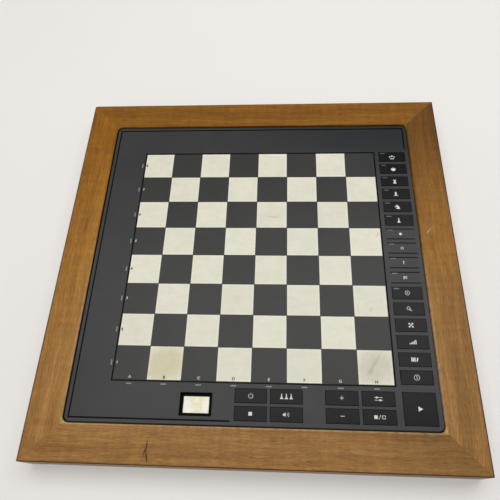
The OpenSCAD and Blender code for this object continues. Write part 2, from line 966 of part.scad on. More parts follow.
module side_key_mat() {
    color("#8f9396")
        difference() {
            union() {
                block(side_board_x0 + 1, side_board_y0 + 1, mat_z,
                      side_board_x1 - 1, side_board_y1 - 1, mat_z + mat_t);
                at_side_keys()
                    dome();
                translate([column_x, rows_y, 0])
                    dome();
            }
            at_side_lamps(0, lamped_places - 1)
                lamp_window_hole();
            at(side_board_spots)
                disc(post_r + loose, mat_z - 1, mat_z + mat_t + 1);
        }
}

module front_key_mat() {
    x0 = front_x(go_squares) - key_w / 2 - 1;
    color("#8f9396")
        difference() {
            union() {
                block(x0, front_board_y0 + 1, mat_z,
                      front_board_x1 - 1, field_y0 - lamp_gap - 2, mat_z + mat_t);
                at_front_keys()
                    dome();
            }
            at(front_board_spots)
                disc(post_r + loose, mat_z - 1, mat_z + mat_t + 1);
        }
}

// ---------- boards ----------

module side_key_board() {
    color(board_colour)
        difference() {
            block(side_board_x0, side_board_y0, board_z, side_board_x1, side_board_y1, mat_z);
            at(side_board_spots)
                disc(hole_r, board_z - 1, mat_z + 1);
        }
}

module front_key_board() {
    color(board_colour)
        difference() {
            block(front_board_x0, front_board_y0, board_z, front_board_x1, front_board_y1, mat_z);
            at(front_board_spots)
                disc(hole_r, board_z - 1, mat_z + 1);
        }
}

module lamp_strip_board() {
    color(board_colour)
        difference() {
            block(strip_board_x0, strip_board_y0, board_z, strip_board_x1, strip_board_y1, mat_z);
            at(strip_board_spots)
                disc(hole_r, board_z - 1, mat_z + 1);
        }
}

module lamps() {
    color("#b3262b") {
        at_field_lamps()
            centred_block(lamp_w - 0.5, lamp_d + 0.5, mat_z, lamp_top);
        at_side_lamps(0, lamped_places - 1)
            centred_block(lamp_w - 0.5, lamp_d + 0.5, mat_z, lamp_top);
    }
}

module lamp_windows() {
    color(window_colour) {
        at_field_lamps()
            centred_block(lamp_w, lamp_d, lamp_top, panel_z);
        at_side_lamps(status_first, status_first + status_count - 1)
            centred_block(lamp_w, lamp_d, lamp_top, panel_z);
        at_side_lamps(0, status_first - 1)
            centred_block(lamp_w, lamp_d, lamp_top, key_top);
        at_side_lamps(lamped_places - 1, lamped_places - 1)
            centred_block(lamp_w, lamp_d, lamp_top, key_top);
    }
}

module main_board() {
    color(board_colour)
        difference() {
            translate([main_board_x, main_board_y, 0])
                centred_block(main_board_w, main_board_d, main_board_z, main_top);
            at(main_board_spots)
                disc(hole_r, main_board_z - 1, main_top + 1);
        }
}

// Calls its children on the main board, at u of its width and v of its depth from its middle
module on_main_board(u, v) {
    translate([main_board_x + u * main_board_w, main_board_y + v * main_board_d, 0])
        children();
}

// Chip in a dual in-line case, long side along X
module chip(pins, width) {
    body_z = main_top + 0.6;
    length = pins / 2 * pin_pitch;
    difference() {
        centred_block(length, width, body_z, body_z + 3.4);
        translate([-length / 2, 0, 0])
            disc(1.2, body_z + 2.4, body_z + 4);
    }
    for (side = [-1, 1])
        translate([0, side * (width / 2 + 0.15), 0])
            centred_block(length - 2, 0.5, main_top, body_z + 1.7);
}

module chips() {
    color("#1e1f21") {
        on_main_board(-0.22, 0.12)
            chip(40, 5.5 * pin_pitch);
        on_main_board(0.14, 0.12)
            chip(28, 5.5 * pin_pitch);
        on_main_board(0.14, -0.14)
            chip(28, 5.5 * pin_pitch);
        on_main_board(-0.22, -0.2)
            chip(16, 2.75 * pin_pitch);
    }
}

module crystal() {
    color(metal_colour)
        on_main_board(-0.39, -0.04)
            rounded_block(5, 11, 2.4, main_top, main_top + 4);
}

module capacitors() {
    color("#27364f") {
        on_main_board(0.36, 0.27)
            disc(can_r, main_top, main_top + can_h);
        on_main_board(0.36, 0.12)
            disc(can_r, main_top, main_top + can_h);
        on_main_board(-0.05, -0.29)
            disc(can_r, main_top, main_top + can_h);
    }
}

module board_screws() {
    color(metal_colour) {
        at(concat(side_board_spots, front_board_spots, strip_board_spots))
            screw(board_z, plate_z - 3, board_head_h);
        at(main_board_spots)
            translate([0, 0, 2 * main_top])
                mirror([0, 0, 1])
                    screw(main_top, main_top + board_t + 3.4, board_head_h);
    }
}

// ---------- display ----------

module display_bezel() {
    color("#0d0d0e")
        translate([display_x0, display_y0, 0])
            difference() {
                union() {
                    centred_block(display_w - 2 * fit, display_d - 2 * fit, screen_z + eps, panel_z);
                    centred_block(display_w + 2 * bezel_flange, display_d + 2 * bezel_flange,
                                  screen_z + eps, plate_z);
                }
                centred_block(display_w - 2 * bezel_wall, display_d - 2 * bezel_wall,
                              screen_z + mask_t, panel_z + 1);
                centred_block(screen_w, screen_d, screen_z - 1, panel_z);
            }
}

module display_glass() {
    color("#e8e6dc", 0.4)
        translate([display_x0, display_y0, 0])
            centred_block(glass_w, glass_d, screen_z - glass_t, screen_z);
}

module display_reflector() {
    color("#e3dcc4")
        translate([display_x0, display_y0, 0])
            centred_block(glass_w, glass_d, reflector_z, screen_z - glass_t);
}

module display_holder() {
    inner_w = max(glass_w, display_w + 2 * bezel_flange) + 2 * loose;
    inner_d = max(glass_d, display_d + 2 * bezel_flange) + 2 * loose;
    color("#d8d8d4")
        translate([display_x0, display_y0, 0])
            difference() {
                centred_block(inner_w + 2 * holder_wall, inner_d + 2 * holder_wall, mat_z, plate_z);
                centred_block(inner_w, inner_d, mat_z - 1, plate_z + 1);
            }
}

module display_connectors() {
    color("#c98a8f")
        for (side = [-1, 1])
            translate([display_x0, display_y0 + side * (glass_d / 2 - strip_w), 0])
                centred_block(glass_w - 2, strip_w, mat_z, reflector_z);
}

// ---------- sound, power and wiring ----------

module sounder() {
    color("#c8a552")
        translate([sounder_x, sounder_y, 0])
            disc(sounder_r, floor_z + 1.2, floor_z + 1.2 + sounder_t);
}

module power_inlet() {
    y1 = module_d / 2 - wall - fit;
    color("#151515")
        difference() {
            union() {
                block(-inlet_x - inlet_w / 2, y1 - inlet_l, rim_floor_z,
                      -inlet_x + inlet_w / 2, y1, rim_floor_z + inlet_h);
                translate([-inlet_x, y1 - eps, inlet_z])
                    rotate([-90, 0, 0])
                        cylinder(h = wall + fit + eps, r = inlet_nose_r);
            }
            translate([-inlet_x, module_d / 2 - 12, inlet_z])
                rotate([-90, 0, 0])
                    cylinder(h = 13, r = inlet_bore / 2);
        }
}

// Flat cable of width w along +X from the origin: up by rise, along +Y by run, then up by rise_2
module flat_cable(w, rise, run, rise_2) {
    block(0, 0, 0, w, cable_t, rise + cable_t);
    block(0, 0, rise, w, run, rise + cable_t);
    block(0, run - cable_t, rise, w, run, rise + rise_2);
}

module ribbon_cables() {
    span = board_z - main_top;
    low = 3;
    to_side = side_board_x0 + 4 - (main_board_x + main_board_w / 2 - 3);
    to_front = main_board_y - main_board_d / 2 + 3 - (front_board_y1 - 4);
    to_bay = bay_y - bay_w / 2 - bay_wall - (main_board_y + main_board_d / 2 - 3);
    to_tail = main_board_y - main_board_d / 2 + 3 - (field_y0 + 3.2);
    color("#9aa0a6") {
        // Main board to side key board
        translate([main_board_x + main_board_w / 2 - 3, main_board_y + 24, main_top])
            rotate([0, 0, -90])
                flat_cable(24, low, to_side, span - low);
        // Main board to front key board
        translate([field_x + 2.5 * square, main_board_y - main_board_d / 2 + 3, main_top])
            rotate([0, 0, 180])
                flat_cable(24, low, to_front, span - low);
        // Main board to the tail of the sensor
        translate([field_x + tail_x + tail_w - 0.5, main_board_y - main_board_d / 2 + 3, main_top])
            rotate([0, 0, 180])
                flat_cable(tail_w - 1, low, to_tail, pocket_z - main_top - low);
        // Main board to battery bay
        translate([field_x + 20, main_board_y + main_board_d / 2 - 3, main_top])
            block(0, 0, 0, 6, cable_t, low + cable_t);
        translate([field_x + 20, main_board_y + main_board_d / 2 - 3, main_top])
            block(0, 0, low, 6, to_bay, low + cable_t);
        // Lamp strip to front key board
        block(strip_board_x1 - 3, front_board_y1 - 12, board_z - cable_t,
              front_board_x0 + 3, front_board_y1 - 4, board_z);
    }
}

// ---------- batteries ----------

module at_rows() {
    for (row = [0:cell_rows - 1])
        translate([0, bay_y + (row - (cell_rows - 1) / 2) * (cell_d + 0.5), 0])
            children();
}

module battery_contacts() {
    plate_t = 0.4;
    x = bay_l / 2 - plate_t;
    leaf = contact_room - plate_t - fit;
    color("#d0d3d6")
        at_rows() {
            block(x, -5, recess_top + 1, x + plate_t, 5, bay_top - 1);
            block(-x - plate_t, -5, recess_top + 1, -x, 5, bay_top - 1);
            for (side = [0, 1])
                mirror([side, 0, 0])
                    translate([x, 3, cell_z])
                        rotate([90, 0, 0])
                            linear_extrude(6)
                                polygon([[eps, -4], [eps, -3.4], [0.4 - leaf, 0], [eps, 3.4],
                                         [eps, 4], [-leaf, 0.3], [-leaf, -0.3]]);
        }
}

module battery_cells() {
    cap_l = 1;
    color("#b08a3c")
        at_rows()
            for (i = [0:cells_in_row - 1])
                translate([(i - cells_in_row / 2) * cell_l, 0, cell_z])
                    rotate([0, 90, 0]) {
                        cylinder(h = cell_l - cap_l, r = cell_d / 2);
                        translate([0, 0, cell_l - cap_l - eps])
                            cylinder(h = cap_l, r = 2.7);
                    }
}

module battery_door() {
    grip_pitch = 3;
    color("#2b2b2b")
        difference() {
            union() {
                block(-door_l / 2, bay_y - door_w / 2, door_z, door_l / 2, bay_y + door_w / 2, door_top);
                block(-door_l / 2 - tongue_w + 0.1, bay_y - door_w / 2 + 4, tongue_z,
                      door_l / 2 + tongue_w - 0.1, bay_y + door_w / 2 - 4, door_top);
            }
            for (i = [0:3])
                translate([0, bay_y + door_w / 2 - 5 - i * grip_pitch, 0])
                    centred_block(22, 1.2, door_z - 1, door_z + 0.6);
        }
}

front_rail();
back_rail();
left_rail();
right_rail();
mitre_tongues();
rubber_feet();
module_screws();
upper_shell();
lower_shell();
case_screws();
playing_sheet();
light_squares();
sensor_top_film();
sensor_spacer();
sensor_bottom_film();
king_key();
queen_key();
rook_key();
bishop_key();
knight_key();
pawn_key();
normal_key();
analysis_key();
set_up_key();
level_key();
library_key();
info_key();
play_key();
go_key();
stop_key();
new_game_key();
sound_key();
plus_key();
minus_key();
function_key();
colour_key();
side_key_mat();
front_key_mat();
side_key_board();
front_key_board();
lamp_strip_board();
lamps();
lamp_windows();
display_bezel();
display_glass();
display_reflector();
display_holder();
display_connectors();
main_board();
chips();
crystal();
capacitors();
board_screws();
sounder();
power_inlet();
ribbon_cables();
battery_contacts();
battery_cells();
battery_door();
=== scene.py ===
"""Electronic chess computer: its finishes, prints and lamp lenses, and a plain stage.

Every length is in metres in the part's own frame: +X towards the column of side
keys, +Y to the back, +Z up, with the origin on the table under the middle.
"""

import math

import bmesh
import bpy
from mathutils import Matrix, Vector


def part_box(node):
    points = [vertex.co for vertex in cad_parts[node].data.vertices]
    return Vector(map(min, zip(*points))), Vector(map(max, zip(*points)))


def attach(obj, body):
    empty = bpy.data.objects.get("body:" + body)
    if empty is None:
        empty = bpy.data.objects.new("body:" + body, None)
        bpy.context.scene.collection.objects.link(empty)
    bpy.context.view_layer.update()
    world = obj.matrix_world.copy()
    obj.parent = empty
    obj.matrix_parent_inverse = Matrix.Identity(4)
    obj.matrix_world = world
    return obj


bl_info = {
    "name": "Electronic Chess Computer",
    "version": (1, 0, 0),
    "blender": (4, 5, 0),
    "location": "3D View > Sidebar > Chess Computer",
    "description": "Finishes, prints, lamp lenses and stage of an electronic chess computer",
    "category": "Object",
}

MM = 0.001

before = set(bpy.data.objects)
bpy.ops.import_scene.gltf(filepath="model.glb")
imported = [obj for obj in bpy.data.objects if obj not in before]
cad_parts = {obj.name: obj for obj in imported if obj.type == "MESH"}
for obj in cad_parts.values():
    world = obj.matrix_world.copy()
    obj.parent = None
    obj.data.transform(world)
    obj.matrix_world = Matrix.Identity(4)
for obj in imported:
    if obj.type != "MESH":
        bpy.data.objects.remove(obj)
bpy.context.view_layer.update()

# How far the playing sheet reaches past the squares, and the gap round the module
SHEET_BORDER = 0.1 * MM
MODULE_GAP = 0.95 * MM

# Places that the solids give
sheet_low, sheet_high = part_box("playing_sheet")
SQUARE = (sheet_high.x - sheet_low.x - 2 * SHEET_BORDER) / 8
FIELD_X = sheet_low.x + SHEET_BORDER
FIELD_Y = sheet_low.y + SHEET_BORDER
PANEL_TOP = sheet_high.z
SURROUND_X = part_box("front_rail")[1].x
SURROUND_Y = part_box("back_rail")[1].y
SURROUND_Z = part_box("back_rail")[1].z
MODULE_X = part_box("upper_shell")[1].x
MODULE_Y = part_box("upper_shell")[1].y
RAIL_INNER_X = MODULE_X + MODULE_GAP

STATUS_FIELDS = 4

# The pitch of the boards' tracks and of the cores in the flat cables
TRACK_PITCH = 1.27 * MM

# How far a print reaches into the surface under it
PRINT_SINK = 0.01 * MM


def middle(node):
    """The middle of a solid's box."""
    low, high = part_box(node)
    return (low + high) / 2


KEY_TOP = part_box("play_key")[1].z
COLUMN_X = middle("king_key").x


def square_middle(file, rank):
    """The middle of a square, with both counted from 0."""
    return FIELD_X + (file + 0.5) * SQUARE, FIELD_Y + (rank + 0.5) * SQUARE


def status_y(number):
    """The middle of a status field; they stand evenly between two keys."""
    step = (middle("pawn_key").y - middle("normal_key").y) / (STATUS_FIELDS + 1)
    return middle("pawn_key").y - (number + 1) * step


def mm(*lengths):
    """These lengths in metres."""
    return [length * MM for length in lengths]


def srgb(red, green, blue):
    """The linear colour that shows as this 0 to 255 value."""
    def linear(value):
        value /= 255
        return value / 12.92 if value <= 0.04045 else ((value + 0.055) / 1.055) ** 2.4
    return (linear(red), linear(green), linear(blue))


# ---------- settings ----------


def colour_setting(name, description, red, green, blue):
    """A colour that the user can change, given by 0 to 255 values."""
    return bpy.props.FloatVectorProperty(
        name=name, description=description, subtype="COLOR", size=3, min=0, max=1,
        default=srgb(red, green, blue))


def length_setting(name, description, low, high, default):
    """A length that the user can change, with its limits and default in mm."""
    return bpy.props.FloatProperty(
        name=name, description=description, subtype="DISTANCE", unit="LENGTH",
        min=low * MM, max=high * MM, default=default * MM)


class WoodSettings(bpy.types.PropertyGroup):
    """Colours and grain of the surround."""

    dark: colour_setting("Dark wood", "Colour of the darkest streaks", 131, 89, 27)
    mid: colour_setting("Mid wood", "Colour of most of the wood", 146, 101, 35)
    light: colour_setting("Light wood", "Colour of the lightest streaks", 159, 113, 44)
    band_width: length_setting("Band width", "Width of the broad bands across the grain", 4, 60, 14)
    sway: length_setting("Sway", "How far the lines of the grain wander sideways", 0, 30, 12)
    # The line along a rail's inner edge is a painted highlight.
    rail_width: length_setting(
        "Rail width", "Width of a rail, for the rubbed line along its inner edge", 20, 60,
        (SURROUND_X - RAIL_INNER_X) / MM)
    pore_depth: length_setting("Pore depth", "Depth of the open pores under the lacquer", 0, 0.5, 0.06)


class PlasticSettings(bpy.types.PropertyGroup):
    """Colours and texture of the moulded parts."""

    panel: colour_setting("Panel", "Colour of the panel", 59, 59, 60)
    key: colour_setting("Keys", "Colour of the keys", 5, 5, 8)
    base: colour_setting("Base", "Colour of the lower shell and the door", 30, 30, 30)
    texture_depth: length_setting("Texture depth", "Depth of the fine moulded texture", 0, 0.2, 0.02)


class FieldSettings(bpy.types.PropertyGroup):
    """Colours and marks of the playing field."""

    dark: colour_setting("Dark squares", "Colour of the dark squares", 57, 57, 57)
    light: colour_setting("Light squares", "Colour of the light squares", 227, 225, 208)
    stain: bpy.props.FloatProperty(
        name="Stains", description="Strength of the stains on the light squares",
        subtype="FACTOR", min=0, max=1, default=0.8)


class PrintSettings(bpy.types.PropertyGroup):
    """Printed signs, letters and digits."""

    colour: colour_setting("Print", "Colour of the pale print", 226, 225, 220)
    thickness: length_setting("Thickness", "Thickness of the print", 0.01, 0.1, 0.03)
    letter_height: length_setting("Letter height", "Height of the file letters", 1, 5, 2.7)
    digit_height: length_setting("Digit height", "Height of the rank digits", 1, 5, 2.6)


class LensSettings(bpy.types.PropertyGroup):
    """Small lenses on the lamp windows."""

    length: length_setting("Window length", "Length of a lamp's window", 3, 8, 5.5)
    width: length_setting("Window width", "Width of a lamp's window", 0.8, 2, 1.3)
    rise: length_setting("Rise", "How far a lens stands above its window", 0.05, 0.4, 0.18)


class StageSettings(bpy.types.PropertyGroup):
    """Floor, light and camera."""

    floor: colour_setting("Floor", "Colour of the floor and the wall round it", 245, 243, 240)
    lamp_power: bpy.props.FloatProperty(
        name="Overhead lamp", description="Power of the soft lamp overhead", subtype="POWER",
        unit="POWER", min=0, max=200, default=26.3)
    lamp_size: bpy.props.FloatVectorProperty(
        name="Overhead size", description="Width and depth of the soft lamp overhead",
        subtype="XYZ_LENGTH", unit="LENGTH", size=2, min=0.3, max=4, default=(2.39, 1.04))
    fill_power: bpy.props.FloatProperty(
        name="Fill lamp", description="Power of the soft lamp in front", subtype="POWER",
        unit="POWER", min=0, max=200, default=8.1)
    ambient: bpy.props.FloatProperty(
        name="Ambient", description="Strength of the even light all round",
        min=0, max=1, default=0.15)
    camera_place: bpy.props.FloatVectorProperty(
        name="Camera", description="Place of the camera", subtype="TRANSLATION",
        unit="LENGTH", size=3, default=(0.03132, -0.24591, 0.53215))
    camera_aim: bpy.props.FloatVectorProperty(
        name="Aim", description="Point in the middle of the picture", subtype="TRANSLATION",
        unit="LENGTH", size=3, default=(-0.00593, 0.00636, 0.032))
    camera_roll: bpy.props.FloatProperty(
        name="Roll", description="Turn of the camera about its line of sight",
        subtype="ANGLE", unit="ROTATION", default=math.radians(-7.175))
    camera_angle: bpy.props.FloatProperty(
        name="Angle of view", description="Width of the camera's view", subtype="ANGLE",
        unit="ROTATION", min=0.2, max=2, default=math.radians(52.986536))


# ---------- finishes ----------


class Finish:
    """A material under work. Most methods add nodes and return an output."""

    def __init__(self, name, roughness, specular):
        self.material = bpy.data.materials.new(name)
        self.material.use_nodes = True
        self.tree = self.material.node_tree
        self.surface = self.tree.nodes["Principled BSDF"]
        self.set("Roughness", roughness)
        self.set("Specular IOR Level", specular)
        self.place = self.add("ShaderNodeTexCoord").outputs["Object"]

    def add(self, kind, inputs=None, **settings):
        """A new node with these settings, its sockets fed by name or number."""
        node = self.tree.nodes.new(kind)
        for name, value in settings.items():
            setattr(node, name, value)
        for socket, value in (inputs or {}).items():
            self.feed(node.inputs[socket], value)
        return node

    def feed(self, socket, value):
        """Links an output to the socket, or sets the socket's own value."""
        if isinstance(value, bpy.types.NodeSocket):
            self.tree.links.new(value, socket)
        elif hasattr(value, "__len__") and len(value) == 3 and socket.type == "RGBA":
            socket.default_value = (*value, 1)
        else:
            socket.default_value = value

    def set(self, name, value):
        """Feeds a socket of the surface."""
        self.feed(self.surface.inputs[name], value)

    def current(self, name):
        """The output that feeds this socket of the surface."""
        return self.surface.inputs[name].links[0].from_socket

    def mapped(self, scale=(1, 1, 1), offset=(0, 0, 0), turn=0.0, source=None):
        """Coordinates scaled, shifted and turned about the upright axis."""
        return self.add("ShaderNodeMapping", {
            "Vector": source or self.place, "Scale": scale, "Location": offset,
            "Rotation": (0, 0, turn)}).outputs["Vector"]

    def axes(self, source=None):
        """The three coordinates one by one."""
        return self.add("ShaderNodeSeparateXYZ", {0: source or self.place}).outputs

    def noise(self, vector, scale=1.0, detail=2.0, roughness=0.5, distortion=0.0):
        """A soft random pattern with values from 0 to 1."""
        return self.add("ShaderNodeTexNoise", {
            "Vector": vector, "Scale": scale, "Detail": detail, "Roughness": roughness,
            "Distortion": distortion}).outputs["Fac"]

    def cells(self, vector, scale, feature="F1"):
        """The distance from the points, or to the edges, of random cells."""
        return self.add("ShaderNodeTexVoronoi", {"Vector": vector, "Scale": scale},
                        feature=feature).outputs["Distance"]

    def ramp(self, value, stops):
        """A colour for each value, blended between these stops."""
        node = self.add("ShaderNodeValToRGB", {"Fac": value})
        band = node.color_ramp
        while len(band.elements) < len(stops):
            band.elements.new(0.5)
        for element, (at, colour) in zip(band.elements, stops):
            element.position = at
            element.color = (*colour, 1)
        return node.outputs["Color"]

    def span(self, value, low, high, to_low=0.0, to_high=1.0):
        """A soft step from to_low to to_high while the value goes from low to high."""
        return self.add("ShaderNodeMapRange", {
            "Value": value, "From Min": low, "From Max": high, "To Min": to_low,
            "To Max": to_high}, interpolation_type="SMOOTHSTEP").outputs["Result"]

    def math(self, operation, a, b=0.0, c=0.0):
        """One sum with up to three values."""
        return self.add("ShaderNodeMath", {0: a, 1: b, 2: c}, operation=operation).outputs[0]

    def times(self, first, *others):
        """The product of these values."""
        for other in others:
            first = self.math("MULTIPLY", first, other)
        return first

    def most(self, first, *others):
        """The largest of these values."""
        for other in others:
            first = self.math("MAXIMUM", first, other)
        return first

    def minus(self, a, b):
        """What is left of a without b."""
        return self.math("SUBTRACT", a, b)

    def away(self, a, b=0.0):
        """How far a is from b."""
        return self.math("ABSOLUTE", self.minus(a, b))

    def repeat(self, axis, pitch):
        """How far across its stripe a point is, from 0 to 1, with stripes this far apart."""
        return self.math("FRACT", self.times(axis, 1 / pitch))

    def from_middle(self, axis, pitch):
        """How far a point is from the middle of its stripe, as a share of the pitch."""
        return self.away(self.repeat(axis, pitch), 0.5)

    def blend(self, factor, a, b, mode="MIX"):
        """The colour a where the factor is 0, and b mixed into it where it is 1."""
        return self.add("ShaderNodeMix", {0: factor, 6: a, 7: b}, data_type="RGBA",
                        blend_type=mode).outputs[2]

    def stained(self, colour, by):
        """The colour times another."""
        return self.blend(1.0, colour, by, "MULTIPLY")

    def tint(self, colour, value, low, high):
        """The colour times low where value is 0, and high where it is 1."""
        return self.stained(colour, self.ramp(value, [(0.0, (low,) * 3), (1.0, (high,) * 3)]))

    def mottled(self, colour, noise, low, high):
        """The colour times low to high, over the middle of a noise."""
        return self.tint(colour, self.span(noise, 0.3, 0.7), low, high)

    def spot(self, centre, half, soft, ragged, turn=0.0):
        """1 inside an ellipse in plan, fading to 0 outside it, with a ragged edge."""
        endless = 1e6  # so that only the place in plan counts
        inside = self.add("ShaderNodeMapping", {
            "Vector": self.place, "Location": (*centre, 0), "Rotation": (0, 0, turn),
            "Scale": (*half, endless)}, vector_type="TEXTURE").outputs["Vector"]
        length = self.add("ShaderNodeVectorMath", {0: inside}, operation="LENGTH")
        wobble = self.math("MULTIPLY_ADD", self.noise(self.place, 420, 3, 0.6), ragged, -ragged / 2)
        distance = self.math("ADD", length.outputs["Value"], wobble)
        return self.span(distance, 1 + soft, 1 - soft)

    def bump(self, height, depth, below=None):
        """Raises the surface by depth where height is 1, on top of the bump below."""
        inputs = {"Strength": 1.0, "Distance": depth, "Height": height}
        if below is not None:
            inputs["Normal"] = below
        normal = self.add("ShaderNodeBump", inputs).outputs["Normal"]
        self.set("Normal", normal)
        return normal


def dress(nodes, finish):
    """Gives solids their finish."""
    for name in nodes:
        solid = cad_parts[name]
        if not solid.material_slots:
            solid.data.materials.append(finish.material)
        for place in solid.material_slots:
            place.material = finish.material


class RailWood(Finish):
    """Lacquered wood with its grain along one rail. Its colour is worked out step by step."""

    def __init__(self, name, along_y, seed, tone, painted_wall_light, look):
        super().__init__(name, 0.42, 0.2)
        self.look = look
        self.x, self.y, self.z = self.axes()
        turned = self.mapped(turn=math.pi / 2 if along_y else 0.0, offset=(seed, seed * 0.7, seed * 1.3))
        self.grain = self.swayed(turned)
        self.ripple = self.noise(self.mapped((150, 24, 24), (1, 5, 2), source=turned), 1, 3, 0.6)
        self.fibres = self.drawn(150, 1500, 4, 0.7)
        self.pores = self.drawn(260, 2400, 2, 0.5)
        # Painted sheen at the front and painted shade at the back, over the streaked colour.
        self.colour = self.painted_sheen_and_shade(self.streaked(tone))
        # A noise, its ends that count, and what the colour is multiplied by at these ends
        for noise, low, high, at_low, at_high in (
                (self.drawn(40, 720, 3, 0.6), 0.3, 0.7, 0.84, 1.14),
                (self.fibres, 0.3, 0.7, 0.78, 1.2),
                (self.ripple, 0.3, 0.7, 0.92, 1.06),
                (self.drawn(150, 900, 1, 0.4, (3, 1, 2)), 0.69, 0.77, 1.0, 0.66),
                (self.pores, 0.57, 0.68, 1.0, 0.74)):
            self.colour = self.tint(self.colour, self.span(noise, low, high), at_low, at_high)
        self.edges(painted_wall_light)

    def swayed(self, source):
        """Grain coordinates pushed sideways, so that the lines of the grain wander."""
        x, y, z = self.axes(source)
        push = self.noise(self.mapped((11, 16, 3), source=source), 1, 2, 0.5)
        moved_y = self.math("MULTIPLY_ADD", self.minus(push, 0.5), self.look.sway, y)
        return self.add("ShaderNodeCombineXYZ", {"X": x, "Y": moved_y, "Z": z}).outputs[0]

    def drawn(self, along, across, detail, roughness, offset=(0, 0, 0)):
        """A noise drawn out along the grain, with its waves per metre along and across."""
        place = self.mapped((along, across, across), offset, source=self.grain)
        return self.noise(place, 1, detail, roughness)

    def streaked(self, tone):
        """Broad bands of colour with darker and paler streaks."""
        look = self.look
        bands = self.drawn(3.5, 1 / look.band_width, 3, 0.55)
        streaks = self.drawn(9, 240, 4, 0.65, (4, 4, 4))
        colour = self.ramp(bands, [(0.25, look.dark), (0.5, look.mid), (0.75, look.light)])
        deep = self.stained(colour, [tone * c for c in (0.88, 0.83, 0.74)])
        pale = self.stained(colour, [tone * c for c in (1.08, 1.09, 1.13)])
        return self.blend(self.span(streaks, 0.3, 0.7), deep, pale)

    def painted_sheen_and_shade(self, colour):
        """Painted sheen and shade: paler and greyer towards the front, darker and yellower towards the
        back.
        """
        front, centre, back = (1.06, 1.16, 2.15), (1.1, 1.1, 1), (0.84, 0.76, 0.4)
        share = self.span(self.y, -0.2, 0.2)
        return self.stained(colour, self.ramp(share, [(0, front), (0.5, centre), (1, back)]))

    def shade(self, where, by):
        """Multiplies the colour by this where the mask is 1."""
        self.colour = self.tint(self.colour, where, 1.0, by)

    def edges(self, painted_wall_light):
        """Dark mitres, with painted shade, a painted highlight and painted light along the edges.

        The outer edge and its arris get painted shade, the inner arris a painted highlight towards
        the front, and the inner wall painted shade and light: the last argument gives its shades
        below and above the panel's top, with 1 for three times the colour.
        """
        from_x = self.minus(self.away(self.x), SURROUND_X)
        from_y = self.minus(self.away(self.y), SURROUND_Y)
        self.shade(self.span(self.away(from_x, from_y), 0.4 * MM, 0.1 * MM), 0.86)
        edge = self.most(from_x, from_y)
        # Painted shade along the outer edges.
        self.shade(self.span(edge, -2.2 * MM, -1.2 * MM), 0.86)
        # Painted shade: a dark line on the outer arris, near the top.
        near_top = self.span(self.z, SURROUND_Z - 1.3 * MM, SURROUND_Z - 0.6 * MM)
        self.shade(self.times(self.span(edge, -1.2 * MM, -0.7 * MM), near_top), 0.2)
        inner = self.minus(self.look.rail_width, self.away(edge))
        # Painted highlight: a pale line along the inner arris, towards the front.
        painted_highlight = self.times(self.span(inner, 1.8 * MM, 0.6 * MM),
                            self.span(self.ripple, 0.3, 0.6, 0.2, 0.6), self.span(self.y, 0.05, -0.06))
        self.colour = self.blend(painted_highlight, self.colour, srgb(190, 158, 118))
        # Painted shade and light on the inner wall, below and above the panel's top.
        height = self.span(self.z, PANEL_TOP - 0.3 * MM, PANEL_TOP + 0.5 * MM, *painted_wall_light)
        wall = self.span(inner, 0.3 * MM, 0.1 * MM)
        self.colour = self.blend(wall, self.colour, self.tint(self.colour, height, 0.0, 3.0))

    def lacquered(self):
        """Adds the bare underside and the surface of the lacquer."""
        under = self.span(self.z, 3.4 * MM, 2.8 * MM)
        bare = self.tint(self.colour, self.fibres, 1.05, 1.45)
        self.set("Base Color", self.blend(under, self.colour, bare))
        sheen = self.span(self.fibres, 0.25, 0.75, 0.36, 0.5)
        self.set("Roughness", self.most(sheen, self.times(under, 0.8)))
        filled = self.span(self.pores, 0.58, 0.72, 1.0, 0.0)
        depth = self.look.pore_depth
        self.bump(filled, depth, self.bump(self.fibres, depth * 0.6))
        return self


def moulded(name, colour, depth, roughness=0.5, specular=0.4, grain=2300, mottle=0.05, scuffs=0.0):
    """Textured moulded plastic with faint mottling and, if asked, fine scuffs and dust."""
    f = Finish(name, roughness, specular)
    fine = f.noise(f.place, grain, 3, 0.6)
    shade = f.mottled(colour, f.noise(f.place, 22, 3, 0.6), 1 - mottle, 1 + mottle)
    shade = f.mottled(shade, fine, 0.93, 1.07)
    rough = f.span(fine, 0.2, 0.8, roughness - 0.06, roughness + 0.06)
    if scuffs:
        marks = f.times(scuffs_and_dust(f), scuffs)
        shade = f.blend(marks, shade, f.blend(0.5, colour, (0.42, 0.41, 0.38)))
        rough = f.math("MULTIPLY_ADD", marks, 0.2, rough)
    f.set("Base Color", shade)
    f.set("Roughness", rough)
    f.bump(fine, depth)
    return f


def scuffs_and_dust(f):
    """1 on fine scratches in four directions and on specks of dust, both in patches."""
    marks = []
    for turn, offset in ((0.35, 0), (1.25, 4), (2.4, 9), (-0.2, 15)):
        scratches = f.noise(f.mapped((9, 700, 700), (offset, offset, 0), turn), 1, 2, 0.5)
        patches = f.noise(f.mapped((26, 26, 26), (offset, 3, 0)), 1, 2, 0.5)
        marks.append(f.times(f.span(scratches, 0.70, 0.78), f.span(patches, 0.55, 0.68)))
    specks = f.span(f.cells(f.place, 260), 0.07, 0.03)
    dust_and_painted_shade = f.span(f.noise(f.place, 60, 2), 0.56, 0.62)
    return f.most(*marks, f.times(specks, dust_and_painted_shade))


def film(name, colour, roughness=0.35):
    """Printed polyester film with a faint printed pattern of tracks."""
    f = Finish(name, roughness, 0.5)
    grid = f.cells(f.place, 1 / SQUARE, "DISTANCE_TO_EDGE")
    shade = f.blend(f.span(grid, 0.02, 0.05), tuple(c * 0.55 for c in colour), colour)
    f.set("Base Color", f.tint(shade, f.noise(f.place, 70, 3), 0.92, 1.05))
    f.bump(f.noise(f.place, 900, 2), 0.01 * MM)
    return f


def rubber(name, colour):
    """Matt moulded rubber with a powdery bloom."""
    f = Finish(name, 0.8, 0.3)
    bloom = f.noise(f.place, 180, 4, 0.65)
    f.set("Base Color", f.blend(f.span(bloom, 0.45, 0.75, 0, 0.35), colour, (0.2, 0.2, 0.19)))
    f.bump(f.noise(f.place, 2600, 3), 0.03 * MM)
    return f


